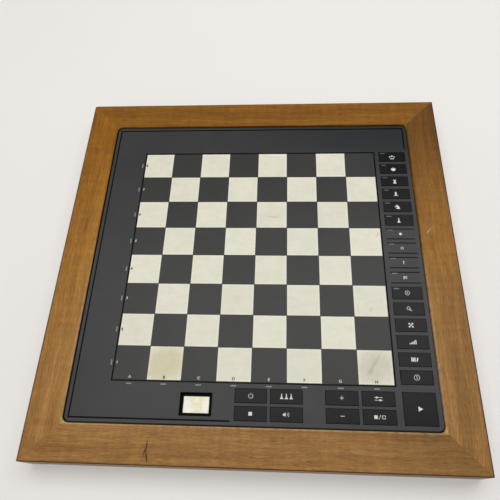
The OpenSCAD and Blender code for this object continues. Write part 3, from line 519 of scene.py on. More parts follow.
def metal(name, colour, roughness=0.32, turn=0.0):
    """Plated metal with fine drawn lines and dull patches."""
    f = Finish(name, roughness, 0.5)
    lines = f.noise(f.mapped((300, 6000, 6000), turn=turn), 1, 3, 0.6)
    dull = f.noise(f.place, 240, 3, 0.6)
    f.set("Metallic", 1.0)
    f.set("Base Color", f.mottled(colour, dull, 0.8, 1.05))
    f.set("Roughness", f.span(dull, 0.25, 0.75, roughness - 0.08, roughness + 0.16))
    f.bump(lines, 0.006 * MM)
    return f


def circuit_board(name):
    """Solder resist over copper tracks, with tinned pads."""
    f = Finish(name, 0.38, 0.5)
    x, y, _ = f.axes()
    along_y, along_x = (f.span(f.from_middle(axis, TRACK_PITCH), 0.2, 0.14) for axis in (x, y))
    choice = f.span(f.noise(f.place, 55, 1), 0.48, 0.52)
    present = f.span(f.noise(f.mapped(offset=(4, 4, 0)), 90, 2), 0.46, 0.5)
    track = f.math("ADD", f.times(along_y, choice), f.times(along_x, f.minus(1.0, choice)))
    track = f.times(track, present)
    pads = f.times(f.span(f.cells(f.place, 240), 0.2, 0.14),
                   f.span(f.noise(f.place, 120, 1), 0.55, 0.58))
    green = f.tint(srgb(34, 92, 52), f.noise(f.place, 35, 3), 0.85, 1.1)
    shade = f.blend(track, green, srgb(64, 138, 80))
    f.set("Base Color", f.blend(pads, shade, srgb(190, 190, 184)))
    f.set("Metallic", pads)
    f.bump(f.most(track, pads), 0.04 * MM)
    return f


# ---------- prints ----------


def band(mesh, lower, upper):
    """Joins two rings of corners with faces."""
    for i in range(len(lower)):
        mesh.faces.new((lower[i - 1], lower[i], upper[i], upper[i - 1]))


def slab(mesh, outline, low, high):
    """A flat piece with this outline, counter-clockwise, from low to high."""
    bottom, top = ([mesh.verts.new((x, y, z)) for x, y in outline] for z in (low, high))
    mesh.faces.new(top)
    mesh.faces.new(bottom[::-1])
    band(mesh, bottom, top)


def arc(x, y, radius, start, end, steps):
    """Points along an arc, with both ends."""
    turns = [start + (end - start) * i / (steps - 1) for i in range(steps)]
    return [(x + radius * math.cos(turn), y + radius * math.sin(turn)) for turn in turns]


def circle(x, y, radius, steps):
    """Points round a circle."""
    return arc(x, y, radius, 0, 2 * math.pi, steps + 1)[:-1]


def rectangle(x, y, width, height):
    """Four corners round a middle point."""
    return [(x + i * width / 2, y + j * height / 2) for i, j in ((-1, -1), (1, -1), (1, 1), (-1, 1))]


def line(points, width, closed=False):
    """Outlines, one for each stretch, of a line of this width along the points."""
    count = len(points)
    ends = [Vector(point) for point in points]
    stretches = range(count if closed else count - 1)
    directions = [(ends[(i + 1) % count] - ends[i]).normalized() for i in stretches]
    sharpest = 0.45  # keeps the outside of a sharp corner short
    sides = []
    for i, point in enumerate(ends):
        normals = [Vector((-directions[j].y, directions[j].x))
                   for j in ((i - 1) % count, i) if j in stretches]
        normal = sum(normals, Vector((0, 0))).normalized()
        reach = normal * (width / 2 / max(sharpest, normal.dot(normals[0])))
        sides.append((point + reach, point - reach))
    return [[sides[i][1], sides[(i + 1) % count][1], sides[(i + 1) % count][0], sides[i][0]]
            for i in stretches]


def ring(x, y, radius, width):
    """A ring's outlines."""
    return line(circle(x, y, radius, 32), width, True)


def symmetric(side, *tips):
    """An outline from one side of it and the points where it crosses the middle line."""
    return [*side, *tips, *((-x, y) for x, y in reversed(side))]


def moved(outlines, dx, dy, scale=1.0):
    """The outlines at another place and, if asked, at another size."""
    return [[(x * scale + dx, y * scale + dy) for x, y in outline] for outline in outlines]


def chequers(x, y, across, up, width, height):
    """Five of three by three fields, from the middle of the first, this far apart."""
    return [rectangle(x + i * across, y + j * up, width, height)
            for i in range(3) for j in range(3) if (i + j) % 2 == 0]


PAWN = moved([symmetric([(2.0, -3.3), (1.6, -2.5), (0.6, -1.0), (0.3, 0.9)]),
              circle(0, -0.1, 0.8, 20), circle(0, 1.85, 0.7, 20)], -0.25, 0)

# The sign on each key: outlines in mm round the middle of the key
KEY_SIGNS = {
    # A drawn crown with a cross
    "king_key": [
        *line(symmetric([(-1.8, -3.0), (-1.9, -2.1), (-2.9, -0.9), (-3.0, 0.1), (-2.3, 0.7),
                         (-1.1, 0.5)], (0, 1.7)), 0.5),
        rectangle(0, -3.2, 3.9, 0.8), rectangle(0, 0.7, 0.9, 2.2)],
    # A solid crown
    "queen_key": [symmetric([(1.9, -3.2), (2.0, -1.9), (3.3, 0.0), (2.1, -0.2), (1.5, 1.1),
                             (0.7, 0.0)], (0, 2.4))],
    "rook_key": moved([symmetric([(2.2, -3.4), (1.7, -2.5), (1.0, -1.5), (0.95, 0.2), (1.5, 0.9),
                                  (1.65, 2.0), (0.8, 2.0), (0.8, 1.4)])], 0.1, 0),
    "bishop_key": moved([
        symmetric([(0.7, -2.0), (1.1, -0.5), (1.1, 0.9), (0.6, 2.1)], (0, 2.7)),
        [(-2.6, -3.1), (-0.3, -2.7), (0.3, -2.7), (2.6, -3.1), (2.5, -2.5), (0.6, -2.0),
         (-0.6, -2.0), (-2.5, -2.5)]], -0.25, 0),
    "knight_key": [
        [(-1.4, -3.0), (2.5, -3.0), (2.5, -1.6), (1.5, 0.4), (0.3, 2.0), (-0.5, 2.6), (-1.2, 2.0),
         (-1.9, 0.9), (-3.1, 0.2), (-2.7, -0.8), (-1.3, 0.2), (-0.4, -0.4), (-0.7, -1.2),
         (-1.8, -2.2)]],
    "pawn_key": PAWN,
    # A ring round a dot
    "normal_key": [*ring(0, 0, 2.3, 0.42), circle(0, 0, 0.7, 18)],
    # A magnifying glass
    "analysis_key": [*ring(-0.6, 0.6, 1.6, 0.5), *line([(0.6, -0.6), (2.4, -2.4)], 0.8)],
    # A small chequered field
    "set_up_key": chequers(-1.6, -1.6, 1.6, 1.6, 1.58, 1.58),
    # Bars that rise in steps
    "level_key": [rectangle(-3.0 + 1.5 * i, -1.7 + 0.425 * i, 0.9, 1.0 + 0.85 * i) for i in range(5)],
    # Three books upright and one leaning
    "library_key": [
        *(rectangle(-2.9 + 1.5 * i, -0.1 * (i % 2), 1.1, 4.2 - 0.2 * (i % 2)) for i in range(3)),
        [(1.3, -2.1), (2.4, -2.1), (3.6, 1.7), (2.5, 2.05)]],
    # A ring round an upright stroke and a dot
    "info_key": [*ring(0, 0, 2.6, 0.4), rectangle(0, -0.6, 0.6, 1.9), circle(0, 1.25, 0.42, 16)],
    "play_key": [[(-1.9, -2.4), (2.4, 0), (-1.9, 2.4)]],
    # An open ring with a stroke in the gap
    "go_key": [*line(arc(0, -0.2, 2.1, math.radians(130), math.radians(410), 26), 0.45),
               rectangle(0, 1.5, 0.5, 2.1)],
    "stop_key": [rectangle(0, 0, 3.4, 3.4)],
    # Three small pawns
    "new_game_key": [man for i in (-1, 0, 1) for man in moved(PAWN, i * 4.6 + 0.25, 0.4, 0.85)],
    # A horn with two waves
    "sound_key": [
        [(-3.3, -0.8), (-2.2, -0.8), (-0.7, -2.0), (-0.7, 2.0), (-2.2, 0.8), (-3.3, 0.8)],
        *line(arc(-0.6, 0, 1.6, -0.72, 0.72, 12), 0.42), *line(arc(-0.6, 0, 3.1, -0.72, 0.72, 12), 0.42)],
    "plus_key": [rectangle(0, 0, 3.9, 0.5), rectangle(0, 0, 0.5, 3.9)],
    "minus_key": [rectangle(0, 0, 4.0, 0.5)],
    # Two sliders
    "function_key": [rectangle(0, 1.25, 7.6, 0.45), circle(-1.7, 1.25, 0.95, 20),
                     rectangle(0, -1.25, 7.6, 0.45), circle(1.7, -1.25, 0.95, 20)],
    # A full and an empty square with a slanting stroke between them
    "colour_key": [rectangle(-3.7, 0, 3.2, 3.2), *line([(-0.95, -2.0), (0.95, 2.0)], 0.42),
                   *line(rectangle(3.7, 0, 2.75, 2.75), 0.45, True)],
}
# The first keys of the column have a lamp each
LAMPED_KEYS = list(KEY_SIGNS)[:7]

# The signs in the status fields: a disc, a ring, a warning mark and a chequered flag
STATUS_SIGNS = (
    [circle(0, 0, 1.6, 28)],
    ring(0, 0, 1.4, 0.45),
    [[(-0.42, -0.35), (0.42, -0.35), (0.6, 1.9), (-0.6, 1.9)], circle(0, -1.3, 0.5, 16)],
    [rectangle(-1.75, -0.2, 0.45, 3.8), *chequers(-0.9, 1.2, 1.05, -0.95, 1.04, 0.94)],
)


def object_from(mesh, name, finish):
    """Turns a complete bmesh into an object."""
    bmesh.ops.recalc_face_normals(mesh, faces=mesh.faces)
    data = bpy.data.meshes.new(name)
    mesh.to_mesh(data)
    mesh.free()
    data.materials.append(finish.material)
    made = bpy.data.objects.new(name, data)
    bpy.context.scene.collection.objects.link(made)
    return made


def placed(name, mesh, finish, body):
    """Turns a complete bmesh into a piece that rides on a body."""
    piece = object_from(mesh, name, finish)
    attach(piece, body)
    return piece


def printed(name, groups, thickness, ink, body):
    """One print: groups of outlines in mm, each with its own middle, that ride on a body.

    Each outline of a group is a little thicker than the one before, so that no two
    of their faces lie in one plane.
    """
    thicker = 0.02
    mesh = bmesh.new()
    for centre, outlines in groups:
        for i, outline in enumerate(outlines):
            points = [(centre.x + x * MM, centre.y + y * MM) for x, y in outline]
            slab(mesh, points, centre.z - PRINT_SINK, centre.z + thickness * (1 + thicker * i))
    return placed(name, mesh, ink, body)


def print_ink(name, colour):
    """Slightly worn pad print."""
    f = Finish(name, 0.5, 0.4)
    worn = f.noise(f.place, 900, 3, 0.6)
    f.set("Base Color", f.tint(colour, f.span(worn, 0.3, 0.6), 0.82, 1.0))
    f.bump(worn, 0.008 * MM)
    return f


def written(name, marks, height, weight, thickness, ink):
    """One piece that holds single characters on the panel: each mark is (text, x, y)."""
    capital = 0.7  # height of a capital as a share of the font's size
    stretch = 1.1  # how much wider than the font's own the characters are
    z = PANEL_TOP + (thickness - PRINT_SINK) / 2
    mesh = bmesh.new()
    for text, x, y in marks:
        curve = bpy.data.curves.new(name, "FONT")
        curve.body = text
        curve.align_x = "CENTER"
        curve.align_y = "CENTER"
        curve.size = height / capital
        curve.extrude = (thickness + PRINT_SINK) / 2
        curve.offset = height * weight
        holder = bpy.data.objects.new(name, curve)
        bpy.context.scene.collection.objects.link(holder)
        bpy.context.view_layer.update()
        evaluated = holder.evaluated_get(bpy.context.evaluated_depsgraph_get())
        glyph = bpy.data.meshes.new_from_object(evaluated)
        glyph.transform(Matrix.Translation((x, y, z)) @ Matrix.Diagonal((stretch, 1, 1, 1)))
        mesh.from_mesh(glyph)
        bpy.data.meshes.remove(glyph)
        bpy.data.objects.remove(holder)
        bpy.data.curves.remove(curve)
    return placed(name, mesh, ink, "case")


# ---------- operators ----------


class CHESS_OT_surround(bpy.types.Operator):
    """Finish the four rails, their tongues, the marks of use on them and their painted light and shade"""

    bl_idname = "chess.surround"
    bl_label = "Wooden surround"

    def execute(self, context):
        look = context.scene.chess_wood
        # Rail, grain along Y, place in the pattern, tone (partly painted light), painted shade and light of
        # the inner wall, own marks and painted light
        for node, along_y, seed, tone, painted_wall_light, marks_and_painted_light in (
                ("front_rail", False, 1.7, 1.05, (0.4, 0.4), self.front_splits_and_painted_shade),
                ("back_rail", False, 5.3, 0.98, (0.3, 0.33), None),
                ("left_rail", True, 8.9, 1.12, (0.05, 0.33), self.left_patch_and_painted_light),
                ("right_rail", True, 12.1, 1.0, (0.9, 0.6), self.right_scratch_and_painted_shade)):
            wood = RailWood("wood_" + node, along_y, seed, tone, painted_wall_light, look)
            if marks_and_painted_light:
                marks_and_painted_light(wood)
            dress([node], wood.lacquered())
        tongues = RailWood("wood_tongues", False, 17.0, 1.2, (0.33, 0.33), look)
        dress(["mitre_tongues"], tongues.lacquered())
        return {"FINISHED"}

    def front_splits_and_painted_shade(self, wood):
        """Dark splits by a change of tone near the left end, and painted shade on the right end."""
        wood.colour = wood.tint(wood.colour, wood.span(wood.x, -95 * MM, -94.3 * MM), 1.02, 0.99)
        # Painted shade darkening the right end.
        wood.shade(wood.span(wood.x, 80 * MM, 190 * MM), 0.8)
        splits = [wood.spot(mm(*centre), mm(*half), 0.5, ragged, math.radians(turn))
                  for centre, half, ragged, turn in (
                      ((-96.1, -202.5), (0.6, 6.2), 0.5, 0),
                      ((-95.2, -211.5), (0.8, 4.6), 0.5, 12),
                      ((-97.7, -207.2), (0.6, 3.8), 0.4, -9))]
        wood.shade(wood.most(*splits), 0.16)

    def left_patch_and_painted_light(self, wood):
        """Painted light that pales it towards the back, with a dull patch."""
        # Painted light towards the back.
        wood.shade(wood.span(wood.y, 50 * MM, 180 * MM), 1.1)
        wood.shade(wood.spot(mm(-198.7, 35.9), mm(2.2, 7.5), 0.7, 0.8), 0.78)

    def right_scratch_and_painted_shade(self, wood):
        """A pale scratch, and painted shade darkening it towards the back."""
        scratch = wood.spot(mm(192.4, 30.6), mm(0.5, 4.5), 0.5, 0.5, -0.69)
        wood.colour = wood.blend(wood.times(scratch, 0.6), wood.colour, srgb(205, 176, 138))
        # Painted shade towards the back.
        wood.shade(wood.span(wood.y, 50 * MM, 180 * MM), 0.62)


class CHESS_OT_shells(bpy.types.Operator):
    """Finish the panel, the lower shell, the door, the feet and the screws"""

    bl_idname = "chess.shells"
    bl_label = "Shells and feet"

    def execute(self, context):
        look = context.scene.chess_plastic
        panel = moulded("panel_plastic", look.panel, look.texture_depth, 0.32, 0.15, scuffs=0.3)
        dress(["upper_shell"], self.grooved_with_painted_shade(panel))
        base = moulded("base_plastic", look.base, look.texture_depth * 2, 0.5, 0.35, 1500)
        dress(["lower_shell", "battery_door"], base)
        dress(["rubber_feet"], rubber("foot_rubber", srgb(26, 26, 26)))
        dress(["module_screws", "case_screws", "board_screws"], metal("screw_steel", srgb(176, 178, 180)))
        return {"FINISHED"}

    def grooved_with_painted_shade(self, f):
        """Makes the rim outside the groove paler, and paints shade: black floors in all grooves, blacker
        towards the back, and a darker, bluer back right.
        """
        x, y, z = f.axes()
        depth = f.minus(PANEL_TOP, z)
        rim = f.most(f.minus(f.away(x), MODULE_X), f.minus(f.away(y), MODULE_Y))
        colour = f.tint(f.current("Base Color"), f.span(rim, -4.7 * MM, -4.5 * MM), 1.0, 1.08)
        # Painted shade: darker and bluer at the back right of the panel.
        painted_back_shade = f.times(f.span(x, -90 * MM, 170 * MM), f.span(y, 100 * MM, 165 * MM))
        colour = f.blend(painted_back_shade, colour, f.stained(colour, (0.48, 0.62, 0.68)))
        # Painted shade: black floors in the grooves, blacker towards the back.
        painted_groove_shade = f.times(f.span(depth, 0.12 * MM, 0.3 * MM), f.span(depth, 3 * MM, 2.9 * MM),
                       f.span(rim, -0.3 * MM, -0.5 * MM))
        floor = f.blend(f.span(depth, 0.56 * MM, 0.66 * MM), srgb(18, 18, 18), srgb(7, 7, 7))
        floor = f.tint(floor, f.span(y, 100 * MM, 160 * MM), 1.0, 0.2)
        f.set("Base Color", f.blend(painted_groove_shade, colour, floor))
        dull = f.times(painted_groove_shade, f.span(y, 100 * MM, 160 * MM, 0.7, 1.0))
        f.set("Roughness", f.most(f.current("Roughness"), dull))
        return f


class CHESS_OT_field(bpy.types.Operator):
    """Finish the playing sheet, its light squares and the sensor below it"""

    bl_idname = "chess.field"
    bl_label = "Playing field"

    def execute(self, context):
        look = context.scene.chess_field
        depth = context.scene.chess_plastic.texture_depth
        dress(["playing_sheet"], self.dark_squares(look.dark, depth))
        dress(["light_squares"], self.light_squares(look))
        dress(["sensor_top_film", "sensor_bottom_film"], film("sensor_film", srgb(205, 196, 164)))
        dress(["sensor_spacer"], film("spacer_film", srgb(228, 224, 210), 0.5))
        return {"FINISHED"}

    def dark_squares(self, colour, depth):
        """Dark print, with painted shade in black along the edge of the sheet."""
        f = moulded("dark_squares", colour, depth, 0.32, 0.15, scuffs=0.15)
        x, y, _ = f.axes()
        half = 4 * SQUARE
        # Painted shade along the edge of the sheet.
        reach = f.most(f.away(x, FIELD_X + half), f.away(y, FIELD_Y + half))
        edge = f.span(reach, half - 0.6 * MM, half - 0.52 * MM)
        f.set("Base Color", f.blend(edge, f.current("Base Color"), srgb(10, 10, 10)))
        return f

    def light_squares(self, look):
        """Pale print with a cloudy tone, one tone for each square, and old stains."""
        f = Finish("light_squares", 0.42, 0.35)
        clouds = f.noise(f.mapped((1, 1, 0.2)), 75, 5, 0.62, 0.6)
        wisps = f.noise(f.mapped((60, 190, 1), turn=0.9), 1, 4, 0.6, 0.8)
        colour = f.mottled(look.light, clouds, 0.95, 1.02)
        colour = f.tint(colour, f.span(wisps, 0.35, 0.65), 0.975, 1.01)
        tile = f.add("ShaderNodeVectorMath", {
            0: f.mapped(offset=(-FIELD_X, -FIELD_Y, 0)), 1: (SQUARE, SQUARE, 1)}, operation="SNAP")
        tone = f.add("ShaderNodeTexWhiteNoise", {"Vector": tile.outputs[0]}).outputs["Value"]
        colour = f.tint(colour, tone, 0.965, 1.015)
        colour = f.tint(colour, self.worn_middle(f), 1.035, 0.985)
        for mask, strength, shade in self.stains(f):
            colour = f.blend(f.times(mask, strength * look.stain), colour, f.stained(colour, shade))
        f.set("Base Color", colour)
        f.set("Roughness", f.span(clouds, 0.3, 0.7, 0.36, 0.5))
        f.bump(f.noise(f.place, 1700, 2), 0.012 * MM)
        return f

    def worn_middle(self, f):
        """1 in the middle of each square and 0 along its sides."""
        x, y, _ = f.axes()
        across = f.from_middle(f.minus(x, FIELD_X), SQUARE)
        along = f.from_middle(f.minus(y, FIELD_Y), SQUARE)
        return f.span(f.most(across, along), 0.47, 0.41)

    def stains(self, f):
        """Each stain's mask, strength and colour."""
        # Cloudy squares: file, rank, reach as a share of the square, strength, colour
        # The cloudy stain on b1 (file 1, rank 0) is partly a stain and partly painted shadow.
        for file, rank, share, strength, shade in (
                (1, 0, 0.6, 0.85, (0.80, 0.72, 0.52)), (7, 0, 0.55, 0.8, (0.70, 0.69, 0.65)),
                (4, 5, 0.3, 0.2, (0.86, 0.78, 0.68)), (3, 2, 0.18, 0.25, (0.82, 0.78, 0.66)),
                (2, 7, 0.25, 0.2, (0.84, 0.80, 0.70))):
            half = (share * SQUARE, share * SQUARE * 0.8)
            yield f.spot(square_middle(file, rank), half, 0.6, 0.9, 0.4), strength, shade
        # Smears: middle and half size in mm, turn, strength, colour
        for centre, half, turn, strength, shade in (
                ((19.5, 49.3), (6.5, 0.9), -0.08, 0.8, (0.72, 0.68, 0.55)),
                ((136.3, 26.0), (1.4, 3.2), -0.5, 0.7, (0.86, 0.68, 0.60)),
                ((127.7, 7.4), (5.5, 1.3), 0.1, 0.45, (0.84, 0.81, 0.74)),
                ((122.7, -62.2), (2.6, 1.6), 0.5, 0.6, (0.80, 0.72, 0.66)),
                ((134.4, -51.5), (0.9, 3.5), 0.2, 0.4, (0.86, 0.84, 0.78)),
                ((122.6, -118.2), (1.6, 11.0), -0.55, 0.75, (0.74, 0.73, 0.66)),
                ((117.5, -127.0), (2.6, 4.0), -0.4, 0.5, (0.76, 0.75, 0.68))):
            yield f.spot(mm(*centre), mm(*half), 0.7, 0.8, turn), strength, shade


class CHESS_OT_coordinates(bpy.types.Operator):
    """Print the file letters and rank digits on the squares"""

    bl_idname = "chess.coordinates"
    bl_label = "Coordinates"

    def execute(self, context):
        look = context.scene.chess_print
        letter_y = FIELD_Y + 0.09 * SQUARE
        digit_x = FIELD_X + 0.066 * SQUARE
        # Print, colour, first file and rank, weight of the letters, weight of the digits
        for name, colour, first, letter_weight, digit_weight in (
                ("pale", look.colour, 0, 0.02, 0.03), ("dark", srgb(14, 13, 12), 1, 0.045, 0.08)):
            ink = print_ink(name + "_ink", colour)
            letters = [("ABCDEFGH"[i], square_middle(i, 0)[0], letter_y) for i in range(first, 8, 2)]
            digits = [(str(i + 1), digit_x, square_middle(0, i)[1]) for i in range(first, 8, 2)]
            for kind, marks, height, weight in (
                    ("file_letters_", letters, look.letter_height, letter_weight),
                    ("rank_digits_", digits, look.digit_height, digit_weight)):
                written(kind + name + "_coordinates", marks, height, weight, look.thickness, ink)
        return {"FINISHED"}


class CHESS_OT_keys(bpy.types.Operator):
    """Finish the keys and print a sign on each"""

    bl_idname = "chess.keys"
    bl_label = "Keys and their signs"

    def execute(self, context):
        plastic = context.scene.chess_plastic
        look = context.scene.chess_print
        dress(KEY_SIGNS, moulded("key_plastic", plastic.key, plastic.texture_depth, 0.32, 0.15,
                                 2000, 0.08, 0.12))
        ink = print_ink("key_ink", look.colour)
        for node, outlines in KEY_SIGNS.items():
            centre = middle(node)
            centre.z = KEY_TOP
            printed("sign_" + node, [(centre, outlines)], look.thickness, ink,
                    node.replace("_key", "_button"))
        return {"FINISHED"}


class CHESS_OT_status(bpy.types.Operator):
    """Print a sign in each of the four status fields"""

    bl_idname = "chess.status"
    bl_label = "Status signs"

    def execute(self, context):
        look = context.scene.chess_print
        groups = [(Vector((COLUMN_X, status_y(i), PANEL_TOP)), outlines)
                  for i, outlines in enumerate(STATUS_SIGNS)]
        printed("status_signs", groups, look.thickness, print_ink("status_ink", look.colour), "case")
        return {"FINISHED"}


class CHESS_OT_lamps(bpy.types.Operator):
    """Finish the lamps and set three small lenses on each lamp's window"""

    bl_idname = "chess.lamps"
    bl_label = "Lamps"

    def execute(self, context):
        look = context.scene.chess_lens
        window = self.window_plastic()
        dress(["lamp_windows"], window)
        dress(["lamps"], self.lamp_resin())
        low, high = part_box("lamp_windows")
        row_x = low.x + look.width / 2
        row_y = low.y + look.width / 2
        column_x = high.x - look.length / 2
        rise_y = high.y - look.width / 2 - middle("king_key").y
        mesh = bmesh.new()
        for i in range(8):
            x, y = square_middle(i, i)
            self.lenses(mesh, x, row_y, PANEL_TOP, look, False)
            self.lenses(mesh, row_x, y, PANEL_TOP, look, True)
        for node in LAMPED_KEYS:
            self.lenses(mesh, column_x, middle(node).y + rise_y, KEY_TOP, look, False)
        for i in range(STATUS_FIELDS):
            self.lenses(mesh, column_x, status_y(i) + rise_y, PANEL_TOP, look, False)
        piece = placed("lamp_lenses", mesh, window, "case")
        piece.data.shade_smooth()
        return {"FINISHED"}

    def lenses(self, mesh, x, y, z, look, upright):
        """Three pillow-shaped lenses side by side on one window."""
        # From the foot of a lens to its top: how far in from the outline, and how high
        profile = ((0.0, -0.1), (0.0, 0.35), (0.3, 0.85), (0.62, 1.0))
        corners = 12
        roundness = 0.6  # 1 would be an ellipse, and 0 a rectangle
        pitch = look.length / 3
        half = (pitch * 0.42, look.width * 0.42)
        for shift in (-pitch, 0, pitch):
            below = None
            for inset, lift in profile:
                edge = []
                for corner in circle(0, 0, 1, corners):
                    dx, dy = (math.copysign(abs(share) ** roundness, share) * reach * (1 - inset)
                              for share, reach in zip(corner, half))
                    dx, dy = (-dy, dx + shift) if upright else (dx + shift, dy)
                    edge.append(mesh.verts.new((x + dx, y + dy, z + lift * look.rise)))
                if below:
                    band(mesh, below, edge)
                below = edge
            mesh.faces.new(below)

    def window_plastic(self):
        """Cloudy clear plastic over an unlit lamp, with painted shade that darkens the windows by the keys
        towards the back.
        """
        f = Finish("window_plastic", 0.35, 0.5)
        cloud = f.noise(f.place, 700, 3)
        colour = f.mottled(srgb(140, 140, 138), cloud, 0.85, 1.1)
        x, y, _ = f.axes()
        # Painted shade on the windows by the keys, growing towards the back.
        dust_and_painted_shade = f.times(f.span(x, 142 * MM, 146 * MM), f.span(y, -80 * MM, 140 * MM, 0.35, 1.0))
        f.set("Base Color", f.tint(colour, dust_and_painted_shade, 1.0, 0.3))
        f.bump(cloud, 0.02 * MM)
        return f

    def lamp_resin(self):
        """Red moulded lamp body."""
        f = Finish("lamp_resin", 0.3, 0.5)
        f.set("Base Color", f.tint(srgb(150, 30, 32), f.noise(f.place, 900, 2), 0.8, 1.1))
        f.bump(f.noise(f.place, 2500, 2), 0.01 * MM)
        return f


class CHESS_OT_display(bpy.types.Operator):
    """Finish the display's bezel, glass, reflector, holder and connectors"""

    bl_idname = "chess.display"
    bl_label = "Display"

    def execute(self, context):
        depth = context.scene.chess_plastic.texture_depth
        dress(["display_bezel"], moulded("bezel_plastic", srgb(3, 3, 3), depth, 0.5, 0.06))
        dress(["display_glass"], self.glass())
        dress(["display_reflector"], self.reflector())
        dress(["display_holder"], moulded("holder_plastic", srgb(206, 206, 200), depth))
        dress(["display_connectors"], self.striped_rubber())
        return {"FINISHED"}

    def glass(self):
        """Liquid-crystal glass with its polariser: pale, with faint rings of trapped air."""
        f = Finish("display_glass", 0.12, 0.5)
        centre = middle("display_glass")
        rings = f.add("ShaderNodeTexWave", {
            "Vector": f.mapped(offset=(-centre.x, -centre.y, 0)), "Scale": 55, "Distortion": 9,
            "Detail": 3, "Detail Scale": 1.4}, wave_type="RINGS", rings_direction="SPHERICAL")
        tone = f.blend(rings.outputs["Fac"], srgb(212, 206, 170), srgb(228, 225, 204))
        f.set("Base Color", f.tint(tone, f.noise(f.place, 260, 4, 0.6), 0.86, 1.08))
        f.set("Coat Weight", 1.0)
        f.set("Coat Roughness", 0.04)
        f.bump(f.noise(f.place, 300, 1), 0.004 * MM)
        return f

    def reflector(self):
        """Cream paper-like film with fine brushed lines."""
        f = Finish("display_reflector", 0.35, 0.5)
        f.set("Base Color", f.tint(srgb(222, 214, 188), f.noise(f.place, 2000, 2), 0.92, 1.02))
        f.bump(f.noise(f.mapped((400, 4000, 400)), 1, 2), 0.01 * MM)
        return f

    def striped_rubber(self):
        """Silicone with fine conductive stripes across it."""
        f = Finish("connector_rubber", 0.6, 0.4)
        share = f.repeat(f.axes()[0], 0.5 * MM)
        f.set("Base Color", f.blend(f.span(share, 0.45, 0.55), srgb(196, 132, 138), srgb(28, 28, 30)))
        f.bump(share, 0.02 * MM)
        return f


class CHESS_OT_inside(bpy.types.Operator):
    """Finish the boards, chips, mats, cables, cells and what else is inside"""

    bl_idname = "chess.inside"
    bl_label = "Inside"

    def execute(self, context):
        depth = context.scene.chess_plastic.texture_depth
        dress(["main_board", "side_key_board", "front_key_board", "lamp_strip_board"],
              circuit_board("circuit_board"))
        dress(["side_key_mat", "front_key_mat"], rubber("key_silicone", srgb(146, 150, 153)))
        dress(["chips"], moulded("chip_resin", srgb(26, 26, 28), depth, 0.6, 0.4, 3000))
        dress(["crystal"], metal("crystal_can", srgb(196, 198, 200), 0.25))
        dress(["capacitors"], moulded("capacitor_sleeve", srgb(34, 48, 78), depth * 0.4, 0.3, 0.5))
        dress(["sounder"], metal("sounder_brass", srgb(200, 166, 84), 0.35, 0.6))
        dress(["power_inlet"], moulded("inlet_plastic", srgb(20, 20, 20), depth, 0.5, 0.4))
        dress(["ribbon_cables"], self.flat_cable())
        dress(["battery_contacts"], metal("contact_steel", srgb(208, 210, 212), 0.25))
        dress(["battery_cells"], self.cell_sleeve())
        return {"FINISHED"}

    def flat_cable(self):
        """Grey flat cable with a groove between its cores."""
        f = Finish("flat_cable", 0.5, 0.4)
        x, y, _ = f.axes()
        leaning = f.math("MULTIPLY_ADD", y, 0.02, x)
        groove = f.span(f.from_middle(leaning, TRACK_PITCH), 0.36, 0.48)
        f.set("Base Color", f.tint(srgb(160, 164, 168), groove, 1.0, 0.72))
        f.bump(groove, -0.1 * MM)
        return f

    def cell_sleeve(self):
        """Two-tone sleeve on each cell, with bare steel at its ends."""
        f = Finish("cell_sleeve", 0.3, 0.5)
        low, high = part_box("battery_cells")
        share = f.repeat(f.minus(f.axes()[0], low.x), (high.x - low.x) / 3)
        scratches = f.noise(f.mapped((90, 2000, 2000)), 1, 3)
        sleeve = f.blend(f.span(share, 0.70, 0.71), srgb(30, 32, 36), srgb(176, 124, 62))
        steel = f.most(f.span(share, 0.015, 0.01), f.span(share, 0.965, 0.97))
        colour = f.blend(steel, sleeve, srgb(190, 192, 194))
        f.set("Base Color", f.tint(colour, scratches, 0.88, 1.05))
        f.set("Metallic", steel)
        f.bump(scratches, 0.01 * MM)
        return f


